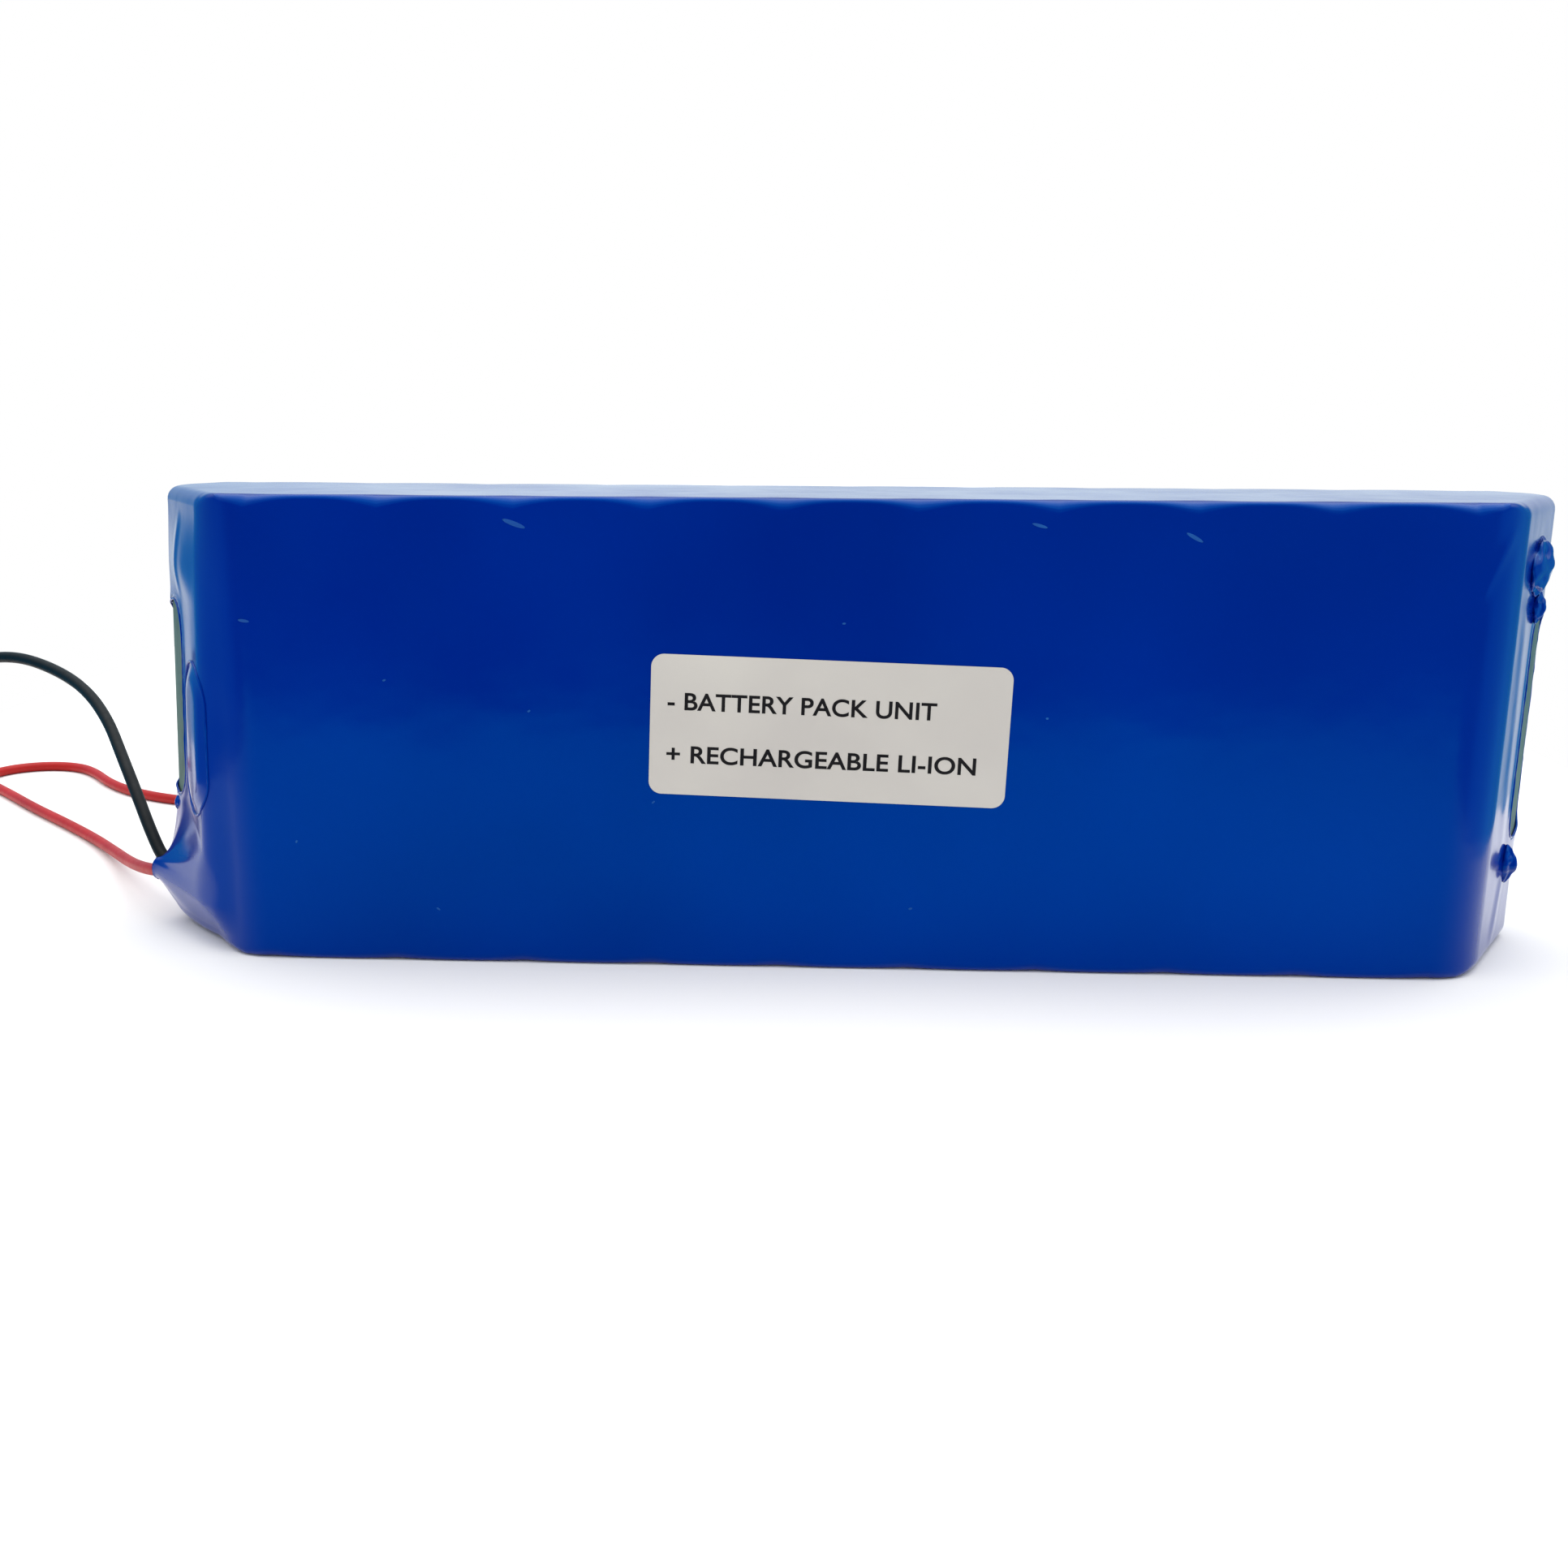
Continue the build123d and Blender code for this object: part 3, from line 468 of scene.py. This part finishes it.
def columns():
    """Points of the loop at the spacing that each stretch needs, with their normals."""
    corner_points, corner_normals = plan_outline()
    dense, dense_normals = [], []
    count = len(corner_points)
    for index in range(count):
        here, after = corner_points[index], corner_points[(index + 1) % count]
        parts = max(1, int(np.linalg.norm(after - here) / 0.1))
        for part in range(parts):
            share = part / parts
            dense.append(here + share * (after - here))
            normal = corner_normals[index] * (1 - share) + corner_normals[(index + 1) % count] * share
            dense_normals.append(normal / np.linalg.norm(normal))
    dense, dense_normals = np.array(dense), np.array(dense_normals)
    gaps = np.linalg.norm(np.roll(dense, -1, 0) - dense, axis=1)
    blend = smooth(DENSE_FROM - 8, DENSE_FROM, np.abs(dense[:, 0]))
    spacing = COARSE_STEP + (FINE_STEP - COARSE_STEP) * blend
    travelled = np.concatenate(((0,), np.cumsum(gaps / spacing)))
    total = int(travelled[-1])
    wanted = np.arange(total) * travelled[-1] / total
    pick = np.searchsorted(travelled, wanted, side="right") - 1
    return dense[pick % len(dense)], dense_normals[pick % len(dense)]


def cusps(x, first):
    """1 at each cell's axis, falling in a point to 0 halfway to the next."""
    return (1 - np.abs(np.sin(math.pi * (x - first) / PITCH))) ** 1.4


def edge_radii(outline, normals):
    """The film's top and bottom edge radius at each column: larger where it crosses a cell."""
    x = outline[:, 0]
    front = smooth(0.6, 0.95, -normals[:, 1]) * (np.abs(x) < FRONT_RIGHT[0] + 4)
    back = smooth(0.6, 0.95, normals[:, 1]) * (np.abs(x) < BACK_RIGHT[0] + 4)
    scallop = front * cusps(x, FRONT_LEFT[0]) + back * cusps(x, BACK_LEFT[0])
    ends = 1 - np.maximum(smooth(0.6, 0.95, -normals[:, 1]), smooth(0.6, 0.95, normals[:, 1]))
    return [plain + crown * scallop + end * ends for plain, crown, end in (TOP_EDGE, BOTTOM_EDGE)]


def skin():
    """The film's smooth outer surface as a grid of points and normals, column by column."""
    outline, normals = columns()
    top, bottom = edge_radii(outline, normals)
    count = len(outline)
    spine = np.stack((
        np.clip(outline[:, 0], -FRONT_RIGHT[0], FRONT_RIGHT[0]),
        np.full(count, (FACE_Y + BACK_Y) / 2),
    ), 1)
    low = np.arange(0, SIDE_DENSE_TO, SIDE_STEP)
    side_shares = np.concatenate((low, np.linspace(low[-1], 1, SIDE_STEPS_ABOVE)[1:]))
    rows, row_normals = [], []

    def row(plan, z, plan_normal, rise):
        level = math.sqrt(max(0.0, 1 - rise * rise))
        rows.append(np.column_stack((plan, np.broadcast_to(z, (count,)))))
        row_normals.append(np.column_stack((plan_normal * level, np.full(count, rise))))

    face_shares = 1 - np.linspace(0, 1, FACE_STEPS + 1)[:-1] ** 1.3
    for share in reversed(face_shares):
        inner = outline - normals * bottom[:, None]
        row(spine + (inner - spine) * share, 0.0, normals, -1.0)
    for step in range(1, EDGE_STEPS):
        angle = math.pi / 2 * step / EDGE_STEPS
        row(
            outline - normals * (bottom * (1 - math.sin(angle)))[:, None],
            bottom * (1 - math.cos(angle)), normals, -math.cos(angle),
        )
    for share in side_shares:
        row(outline, bottom + (HEIGHT - top - bottom) * share, normals, 0.0)
    for step in range(1, EDGE_STEPS):
        angle = math.pi / 2 * step / EDGE_STEPS
        row(
            outline - normals * (top * (1 - math.cos(angle)))[:, None],
            HEIGHT - top * (1 - math.sin(angle)), normals, math.sin(angle),
        )
    for share in face_shares:
        inner = outline - normals * top[:, None]
        row(spine + (inner - spine) * share, HEIGHT, normals, 1.0)
    return np.array(rows), np.array(row_normals)


class Opening:
    """A long opening in an end, where the tube's mouth did not close."""

    def __init__(self, end, along, z, width, height):
        self.end, self.along, self.z = end, along, z
        self.radius = width / 2
        self.reach = height / 2 - self.radius

    def axis_z(self, z):
        """The nearest height on the opening's own middle line."""
        return self.z + np.clip(z - self.z, -self.reach, self.reach)

    def distance(self, along, z):
        """How far outside the opening's edge a place is."""
        return np.hypot(along - self.along, z - self.axis_z(z)) - self.radius

    def snapped(self, along, z):
        """The nearest place on the opening's edge."""
        middle = self.axis_z(z)
        away = np.hypot(along - self.along, z - middle) + 1e-9
        return (
            self.along + (along - self.along) * self.radius / away,
            middle + (z - middle) * self.radius / away,
        )

    def edge(self, count):
        """Places along the edge, with the direction out of the opening at each."""
        straight, arc = 2 * self.reach, math.pi * self.radius
        places, outs = [], []
        for index in range(count):
            run = index / count * 2 * (straight + arc)
            turn_side = 1 if run < straight + arc else -1
            run -= 0 if turn_side == 1 else straight + arc
            if run < straight:
                out = (turn_side, 0.0)
                middle = self.z + turn_side * (run - self.reach)
            else:
                angle = (run - straight) / self.radius
                out = (turn_side * math.cos(angle), turn_side * math.sin(angle))
                middle = self.z + turn_side * self.reach
            places.append((self.along + out[0] * self.radius, middle + out[1] * self.radius))
            outs.append(out)
        return np.array(places), np.array(outs)


# along and z of the middle, then width and height
OPENING_LEFT = Opening(LEFT, 17.6, 35.2, 11.0, 29.6)
OPENING_RIGHT = Opening(RIGHT, 17.4, 33.5, 9.0, 34.0)
OVAL_RING = Opening(LEFT, 4.2, 31.0, 11.6, 22.6)

# the nozzle: the film drawn out from the left end to the two leads
NOZZLE_FOOT = (15.5, 9.6)
NOZZLE_REACH = {"front": 17.5, "back": 9.5, "up": 10.7, "down": 11.5}
NOZZLE_MOUTH = np.array((-106.2, 0.4, 8.4))
NOZZLE_AXIS = np.array((-0.82, 0.50, 0.28))
NOZZLE_SPREAD = np.array((0.3, -1.9, 2.1))
MOUTH_LONG, MOUTH_SHORT = 2.75, 1.4
MOUTH_SHARE = 0.17
MOUTH_REACH, MOUTH_CUT = 0.022, 0.03
# added to the power that shapes the nozzle's wall: above its foot, and below it in plan and height
CURVE_ABOVE, CURVE_BELOW, CURVE_BELOW_Z = 0.25, -0.45, 0.5
NOZZLE_FOLDS = 0.06


def seeded(points, scale, offset):
    """Smooth noise from -1 to 1 at each point, with features of a size in millimetres."""
    flat = points.reshape(-1, 3) / scale + offset
    values = [noise.fractal(Vector(point), 1.0, 2.0, 2) for point in flat]
    return np.array(values).reshape(points.shape[:-1])


def lean_over(end, along, z):
    """How far the film stands out over the leaning board on the left end."""
    if end is RIGHT:
        return np.zeros_like(z)
    rise = np.where(
        z > LEAN_LOW,
        np.clip((LEAN_HIGH - z) / (LEAN_HIGH - LEAN_LOW), 0, 1),
        np.clip((z - 2.0) / 4.6, 0, 1),
    )
    return LEAN * rise * smooth(-5.0, 0.5, along) * (1 - smooth(20.0, 25.0, along))


def ridge(along, z, start, finish_at, width, height):
    """A soft straight fold between two places on an end."""
    start, finish_at = np.array(start), np.array(finish_at)
    line = finish_at - start
    share = ((along - start[0]) * line[0] + (z - start[1]) * line[1]) / (line @ line)
    inside = np.clip(share, 0, 1)
    away = np.hypot(along - start[0] - inside * line[0], z - start[1] - inside * line[1])
    fade = smooth(-0.25, 0.25, share) * (1 - smooth(0.75, 1.25, share))
    return height * np.exp(-(away / width) ** 2) * fade


def swelling(along, z):
    """The rolled film beside the left opening: a long oval cushion inside a raised ring."""
    return CUSHION_HEIGHT * (1 - smooth(-2.6, -0.3, OVAL_RING.distance(along, z)))


def hump(along, start, length):
    """0 outside a stretch, with a smooth rise to 1 in its middle."""
    return np.sin(math.pi * np.clip((along - start) / length, 0, 1)) ** 2


def bulge(along, z):
    """How the gathered film stands out on the left end, most above and below the opening."""
    clear = np.maximum(smooth(50.0, 56.0, z), 1 - smooth(9.0, 16.0, z))
    broad = BULGE_HEIGHT * hump(along, BULGE_START, BULGE_LENGTH) * (1 - smooth(56, 64, z))
    shoulder = SHOULDER_HEIGHT * hump(along, SHOULDER_START, SHOULDER_LENGTH)
    return broad * clear + shoulder * (1 - clear)


def end_rise(end, along, z):
    """How far an end's film stands out from the plain skin."""
    rise = lean_over(end, along, z)
    return rise + swelling(along, z) + bulge(along, z) if end is LEFT else rise


def shape_end(opening, points, normals):
    """Give one end its lean, its lips and folds, and say which faces the opening takes away."""
    end = opening.end
    along, over, z = end.local(points)
    facing = smooth(0.0, 0.35, normals @ end.out) * (over > END_DEPTH)
    away = opening.distance(along, z)
    rise = end_rise(end, along, z)
    rise = rise + HEM_HEIGHT * np.exp(-((away - HEM_OUT) / HEM_WIDTH) ** 2)
    for fold in LEFT_FOLDS if end is LEFT else RIGHT_FOLDS:
        rise = rise + ridge(along, z, *fold)
    near = (np.abs(away) < EDGE_REACH) & (facing > 0.5)
    to_along, to_z = opening.snapped(along, z)
    along = np.where(near, to_along, along)
    z = np.where(near, to_z, z)
    moved = end.point(along, over, z) + (rise * facing)[..., None] * end.out
    gone = (away < -EDGE_REACH) & (facing > 0.5)
    return moved, gone


def shape_nozzle(points, normals):
    """Draw the left end's film out to the mouth round the leads."""
    along, over, z = LEFT.local(points)
    facing = (normals @ LEFT.out > 0.02) & (over > END_DEPTH)
    d_along, d_z = along - NOZZLE_FOOT[0], z - NOZZLE_FOOT[1]
    reach_along = np.where(d_along < 0, NOZZLE_REACH["front"], NOZZLE_REACH["back"])
    reach_z = np.where(d_z < 0, NOZZLE_REACH["down"], NOZZLE_REACH["up"])
    reach = np.hypot(d_along / reach_along, d_z / reach_z)
    angle = np.arctan2(d_z / reach_z, d_along / reach_along)
    near = np.abs(reach - MOUTH_SHARE) < MOUTH_REACH
    reach = np.where(near, MOUTH_SHARE, reach)
    pull = np.clip((1 - reach) / (1 - MOUTH_SHARE), 0, 1)
    below = np.clip(-np.sin(angle), 0, 1)
    above = np.clip(np.sin(angle), 0, 1)
    drawn = pull ** (1.0 + CURVE_ABOVE * above + CURVE_BELOW * below)
    lifted = pull ** (1.0 + CURVE_ABOVE * above + CURVE_BELOW_Z * below)
    drawn = np.stack((drawn, drawn, lifted), -1)
    axis = NOZZLE_AXIS / np.linalg.norm(NOZZLE_AXIS)
    long = NOZZLE_SPREAD / np.linalg.norm(NOZZLE_SPREAD)
    short = np.cross(axis, long)
    spoke = np.cos(angle)[..., None] * LEFT.along + np.sin(angle)[..., None] * np.array((0, 0, 1.0))
    on_long, on_short = spoke @ long, spoke @ short
    size = np.hypot(on_long, on_short) + 1e-9
    ring = NOZZLE_MOUTH + (MOUTH_LONG * on_long / size)[..., None] * long
    ring = ring + (MOUTH_SHORT * on_short / size)[..., None] * short
    folds = np.sin(7 * angle + 0.8) + 0.7 * np.sin(11 * angle + 2.1)
    folds = NOZZLE_FOLDS * folds * pull * (1 - pull) * 3
    drawn_points = points + (ring - points) * drawn + folds[..., None] * LEFT.out
    active = facing & (reach < 1)
    gone = facing & (reach < MOUTH_SHARE - MOUTH_CUT)
    return np.where(active[..., None], drawn_points, points), gone


def make_film():
    """The whole film as one open sheet: skin, fine unevenness, ends and nozzle."""
    points, normals = skin()
    broad = seeded(points, BROAD_SIZE, 3.1)
    small = seeded(points, SMALL_SIZE, 7.7)
    uneven = BROAD_HEIGHT * broad + SMALL_HEIGHT * small
    uneven[0] = uneven[-1] = 0
    points = points + uneven[..., None] * normals * (normals[..., 2:] > -0.5)
    x, z = points[..., 0], points[..., 2]
    crease = ridge(x, z, *FRONT_CREASE)
    points[..., 1] -= crease * (normals[..., 1] < -0.5)
    points, gone_left = shape_end(OPENING_LEFT, points, normals)
    points, gone_right = shape_end(OPENING_RIGHT, points, normals)
    points, gone_mouth = shape_nozzle(points, normals)
    points[..., 2] = np.clip(points[..., 2], 0.0, HEIGHT + 0.15)
    gone = gone_left | gone_right | gone_mouth
    rows, count = points.shape[:2]
    keep = ~gone
    number = np.full((rows, count), -1)
    number[keep] = np.arange(keep.sum())
    faces = []
    for row in range(rows - 1):
        after = np.roll(number[row], -1)
        above, above_after = number[row + 1], np.roll(number[row + 1], -1)
        for corners in zip(number[row], after, above_after, above):
            if min(corners) >= 0:
                faces.append(tuple(int(corner) for corner in corners))
    faces.append(tuple(int(corner) for corner in reversed(number[0])))
    faces.append(tuple(int(corner) for corner in number[-1]))
    return add_mesh("film", points[keep], faces, FILM, closed=False)


film = make_film()
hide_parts("shrink_sleeve")
weld = film.modifiers.new("weld", "WELD")
weld.merge_threshold = WELD_DISTANCE
thickness = film.modifiers.new("thickness", "SOLIDIFY")
thickness.thickness = FILM_THICKNESS
thickness.offset = -1
thickness.use_rim = True


def surface_over(end, along):
    """The height of the plan outline over an end's face, at places along it."""
    outline, normals = plan_outline()
    on_along, on_over, _ = end.local(np.column_stack((outline, np.zeros(len(outline)))))
    facing = (normals @ end.out[:2] > 0.2) & (on_over > END_DEPTH)
    order = np.argsort(on_along[facing])
    return np.interp(along, on_along[facing][order], on_over[facing][order])


LIP_POINTS, LIP_SIDES = 220, 12
LIP_OUT, LIP_UP = 0.05, 0.02


def lip(name, opening, seed, bead=0.17):
    """The rolled hem round an opening: a bead of uneven thickness that stands on the film's edge."""
    end = opening.end
    count, sides = LIP_POINTS, LIP_SIDES
    places, outs = opening.edge(count)
    over = surface_over(end, places[:, 0]) + end_rise(end, places[:, 0], places[:, 1])
    points, faces = [], []
    for index in range(count):
        spot = np.array((places[index][0], places[index][1], seed))
        thick = bead + 0.07 * noise.noise(Vector(spot / 2.3)) + 0.03 * noise.noise(Vector(spot * 1.3))
        for corner in range(sides):
            turn = 2 * math.pi * corner / sides
            sideways = LIP_OUT + thick * math.cos(turn)
            upward = LIP_UP + thick * math.sin(turn)
            points.append(end.point(
                places[index][0] + outs[index][0] * sideways,
                over[index] + upward,
                places[index][1] + outs[index][1] * sideways,
            ))
    for index in range(count):
        after = (index + 1) % count
        for corner in range(sides):
            beside = (corner + 1) % sides
            faces.append((
                index * sides + corner, after * sides + corner,
                after * sides + beside, index * sides + beside,
            ))
    return add_mesh(name, points, faces, FILM)


lip("lip_left", OPENING_LEFT, 1.5)
lip("lip_right", OPENING_RIGHT, 5.5)
lip("fold_left", OVAL_RING, 9.5, 0.20)


def pleat(name, end, place, half, lean, seed, sharp=1.35):
    """A knot of gathered film: an uneven, faceted swelling with ridges, set into an end."""
    rings, sides = 40, 56
    points, faces = [], []
    for ring in range(rings + 1):
        polar = math.pi * ring / rings
        for corner in range(sides):
            turn = 2 * math.pi * corner / sides
            spot = np.array((
                math.sin(polar) * math.cos(turn), math.sin(polar) * math.sin(turn), math.cos(polar)
            ))
            reach = (np.abs(spot) ** sharp).sum() ** (-1 / sharp)
            rough = 0.16 * noise.noise(Vector(spot * 2.2 + seed))
            reach *= 1 + rough + 0.05 * math.sin(5 * turn) * math.sin(polar)
            local = spot * reach * half
            points.append(end.point(
                place[0] + local[0] + lean * local[2], place[1] + local[1], place[2] + local[2]
            ))
    for ring in range(rings):
        for corner in range(sides):
            beside = (corner + 1) % sides
            here = ring * sides
            faces.append((here + corner, here + sides + corner, here + sides + beside, here + beside))
    return add_mesh(name, points, faces, FILM)


pleat("pleat_right_top", RIGHT, (12.6, 0.2, 51.4), (1.9, 1.25, 2.5), 0.1, 2.0)
pleat("pleat_right_fold", RIGHT, (10.8, 0.1, 57.2), (5.5, 1.9, 4.1), 0.25, 4.0, 1.5)
pleat("pleat_right_bottom", RIGHT, (12.6, 0.2, 13.4), (2.0, 1.6, 3.0), -0.05, 6.0)
pleat("pleat_left_bottom", LEFT, (19.0, 2.0, 18.4), (1.2, 0.6, 1.2), 0.0, 11.0, 1.6)

# scuffs and specks on the front face: x, z, half length, half width, and turn in degrees
SCUFFS = (
    (-45.9, 62.9, 1.7, 0.34, -20), (46.0, 61.8, 1.3, 0.26, -28), (25.3, 63.2, 1.1, 0.22, -15),
    (-84.2, 49.3, 0.8, 0.22, -8), (-64.8, 41.2, 0.28, 0.14, 20), (-78.6, 17.7, 0.24, 0.16, 60),
    (27.6, 37.0, 0.22, 0.16, 0), (-44.5, 37.1, 0.25, 0.15, 30), (-27.1, 24.3, 0.30, 0.14, 40),
    (-58.4, 8.0, 0.32, 0.15, -35), (9.6, 9.3, 0.30, 0.16, 15), (-0.7, 49.8, 0.26, 0.14, 5),
)


def scuffs():
    """Rubbed streaks and specks: thin lens-shaped rises set into the front of the film."""
    rings, sides, rise = 6, 20, 0.05
    front_y = plan_outline()[0][:, 1].min()
    points, faces = [], []
    for x, z, long, wide, degrees in SCUFFS:
        start, turn = len(points), math.radians(degrees)
        for ring in range(rings + 1):
            polar = math.pi * ring / rings
            for corner in range(sides):
                angle = 2 * math.pi * corner / sides
                on_long = long * math.sin(polar) * math.cos(angle)
                on_wide = wide * math.sin(polar) * math.sin(angle)
                points.append(np.array((
                    x + on_long * math.cos(turn) - on_wide * math.sin(turn),
                    front_y - rise * math.cos(polar),
                    z + on_long * math.sin(turn) + on_wide * math.cos(turn),
                )))
        for ring in range(rings):
            for corner in range(sides):
                here, beside = start + ring * sides, (corner + 1) % sides
                faces.append((here + corner, here + sides + corner, here + sides + beside, here + beside))
    return add_mesh("film_scuffs", points, faces, SCUFFED_FILM)


scuffs()

# ---------------------------------------------------------------- label print
LABEL_TURN = math.radians(-1.7)
label_low, label_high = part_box("label")
LABEL_CENTRE = (label_low + label_high) / 2
PRINT_SIZE, PRINT_DEPTH, PRINT_WEIGHT = 3.4 * MM, 0.01 * MM, 0.06 * MM
PRINT_PROUD = 0.008 * MM
LINES = (
    ("- BATTERY PACK UNIT", -22.6, 2.2, 37.4),
    ("+ RECHARGEABLE LI-ION", -22.6, -5.3, 43.3),
)


def printed_line(name, words, left, height, width):
    """One printed line on the label, drawn to a given width and lying just proud of the paper."""
    curve = bpy.data.curves.new(name, "FONT")
    curve.body = words
    curve.size = PRINT_SIZE
    curve.extrude = PRINT_DEPTH
    curve.offset = PRINT_WEIGHT
    curve.space_character = 1.02
    text = bpy.data.objects.new(name + "_text", curve)
    scene.collection.objects.link(text)
    bpy.context.view_layer.update()
    mesh = bpy.data.meshes.new_from_object(text.evaluated_get(bpy.context.evaluated_depsgraph_get()))
    bpy.data.objects.remove(text)
    spread_x = [vertex.co.x for vertex in mesh.vertices]
    mesh.transform(Matrix.Translation((-min(spread_x), 0, 0)))
    mesh.transform(Matrix.Diagonal((width * MM / (max(spread_x) - min(spread_x)), 1, 1, 1)))
    mesh.transform(Matrix.Translation((left * MM, height * MM, 0)))
    mesh.transform(Matrix.Rotation(LABEL_TURN, 4, "Z"))
    mesh.transform(Matrix.Rotation(math.radians(90), 4, "X"))
    mesh.transform(Matrix.Translation((LABEL_CENTRE.x, label_low.y - PRINT_PROUD, LABEL_CENTRE.z)))
    mesh.materials.clear()
    mesh.materials.append(LABEL_INK)
    piece = bpy.data.objects.new(name, mesh)
    scene.collection.objects.link(piece)
    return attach(piece, "root")


for number, (words, left, height, width) in enumerate(LINES, start=1):
    printed_line(f"label_print_{number}", words, left, height, width)

# ---------------------------------------------------------------- stage
SHEET_LEFT, SHEET_RIGHT, SHEET_FRONT, SHEET_BACK = -0.215, 0.165, -0.223, 1.6
SIDE_LIGHT = (0.03, 0.37, 0.66)
BACK_LIGHT = (0.80, 0.93, 1.0)

# fades of the light that glossy rays see, by a direction's x, y or z: from, to, and the levels there
BACK_BEGINS = (0.70, 0.80)
TOP_BEGINS = (0.30, 0.62)
LEFT_DIMS = (-0.50, -0.20, 0.50, 1.0)
BELOW_HORIZON = (-0.03, 0.0, 1.0, 0.0)
LEFT_TO_RIGHT = (-0.35, 0.30, 0.30, 0.95)
SIDE_BOOST = (-0.3, 0.6, 0.25, 0.9)
SIDE_ENDS = (0.15, 0.6, 1.0, 0.0)
SIDE_BEGINS = (-0.85, -0.45)

OVERHEAD_PLACE, OVERHEAD_AIM = (0.0, 0.35, 1.4), (0, 0.1, 0)
OVERHEAD_SIZE, OVERHEAD_WATTS = (2.2, 1.4), 10
SKY_STRENGTH, SKY_ANGLE = 1.0, 80


def arithmetic(tree, operation, *values):
    """One sum of the world's patterns; a value is a number or another sum."""
    node = tree.nodes.new("ShaderNodeMath")
    node.operation = operation
    for socket, value in zip(node.inputs, values):
        if isinstance(value, (int, float)):
            socket.default_value = value
        else:
            tree.links.new(value, socket)
    return node.outputs[0]


def rise_between(tree, value, low, high, start=0.0, end=1.0):
    """A smooth step from start to end as a pattern goes from low to high."""
    node = tree.nodes.new("ShaderNodeMapRange")
    node.interpolation_type = "SMOOTHSTEP"
    node.inputs["From Min"].default_value = low
    node.inputs["From Max"].default_value = high
    node.inputs["To Min"].default_value = start
    node.inputs["To Max"].default_value = end
    tree.links.new(value, node.inputs["Value"])
    return node.outputs["Result"]


FLOOR = finish("floor", (0.84, 0.84, 0.84), (0.86, 0.86, 0.86), 25, (0.85, 0.95), depth=1e-5)
mesh = bpy.data.meshes.new("floor")
mesh.from_pydata([
    (SHEET_LEFT, SHEET_FRONT, 0), (SHEET_RIGHT, SHEET_FRONT, 0),
    (SHEET_RIGHT, SHEET_BACK, 0), (SHEET_LEFT, SHEET_BACK, 0),
], [], [(0, 1, 2, 3)])
mesh.materials.append(FLOOR)
floor = bpy.data.objects.new("floor", mesh)
scene.collection.objects.link(floor)

# camera and diffuse rays see plain white; glossy rays see a studio that is bright behind and
# above the pack, and dim and bluer at its sides and front
world = bpy.data.worlds.new("world")
scene.world = world
world.use_nodes = True
tree = world.node_tree
direction = tree.nodes.new("ShaderNodeTexCoord").outputs["Generated"]
split = tree.nodes.new("ShaderNodeSeparateXYZ")
tree.links.new(direction, split.inputs["Vector"])
across, depth, height = split.outputs["X"], split.outputs["Y"], split.outputs["Z"]
fade = rise_between(tree, across, *LEFT_DIMS)
level = arithmetic(tree, "MAXIMUM", fade, rise_between(tree, height, *BELOW_HORIZON))
behind = arithmetic(tree, "MULTIPLY", rise_between(tree, depth, *BACK_BEGINS), level)
bright = arithmetic(tree, "MAXIMUM", behind, rise_between(tree, height, *TOP_BEGINS))
front = rise_between(tree, across, *LEFT_TO_RIGHT)
boost = rise_between(tree, across, *SIDE_BOOST)
side = arithmetic(tree, "MULTIPLY_ADD", boost, rise_between(tree, depth, *SIDE_ENDS), 1.0)
side = arithmetic(tree, "MULTIPLY", side, rise_between(tree, depth, *SIDE_BEGINS))
dim = arithmetic(tree, "MAXIMUM", front, side)
lamp = tree.nodes["Background"]
tree.links.new(
    arithmetic(tree, "MAXIMUM", dim, rise_between(tree, bright, 0.0, 1.0)), lamp.inputs["Strength"]
)
tree.links.new(ramp(tree, bright, SIDE_LIGHT, BACK_LIGHT, 0.0, 1.0), lamp.inputs["Color"])
backdrop = tree.nodes.new("ShaderNodeBackground")
backdrop.inputs["Color"].default_value = (1, 1, 1, 1)
seen = tree.nodes.new("ShaderNodeMixShader")
tree.links.new(tree.nodes.new("ShaderNodeLightPath").outputs["Is Glossy Ray"], seen.inputs["Fac"])
tree.links.new(backdrop.outputs["Background"], seen.inputs[1])
tree.links.new(lamp.outputs["Background"], seen.inputs[2])
tree.links.new(seen.outputs["Shader"], tree.nodes["World Output"].inputs["Surface"])


def softbox(name, place, aim, size, watts):
    """A large soft light at a place, facing a point, in metres."""
    light = bpy.data.lights.new(name, "AREA")
    light.shape = "RECTANGLE"
    light.size, light.size_y = size
    light.energy = watts
    piece = bpy.data.objects.new(name, light)
    piece.location = place
    piece.rotation_euler = (Vector(aim) - Vector(place)).to_track_quat("-Z", "Y").to_euler()
    scene.collection.objects.link(piece)


softbox("overhead", OVERHEAD_PLACE, OVERHEAD_AIM, OVERHEAD_SIZE, OVERHEAD_WATTS)
sky = bpy.data.lights.new("sky", "SUN")
sky.energy = SKY_STRENGTH
sky.angle = math.radians(SKY_ANGLE)
sky_light = bpy.data.objects.new("sky", sky)
scene.collection.objects.link(sky_light)
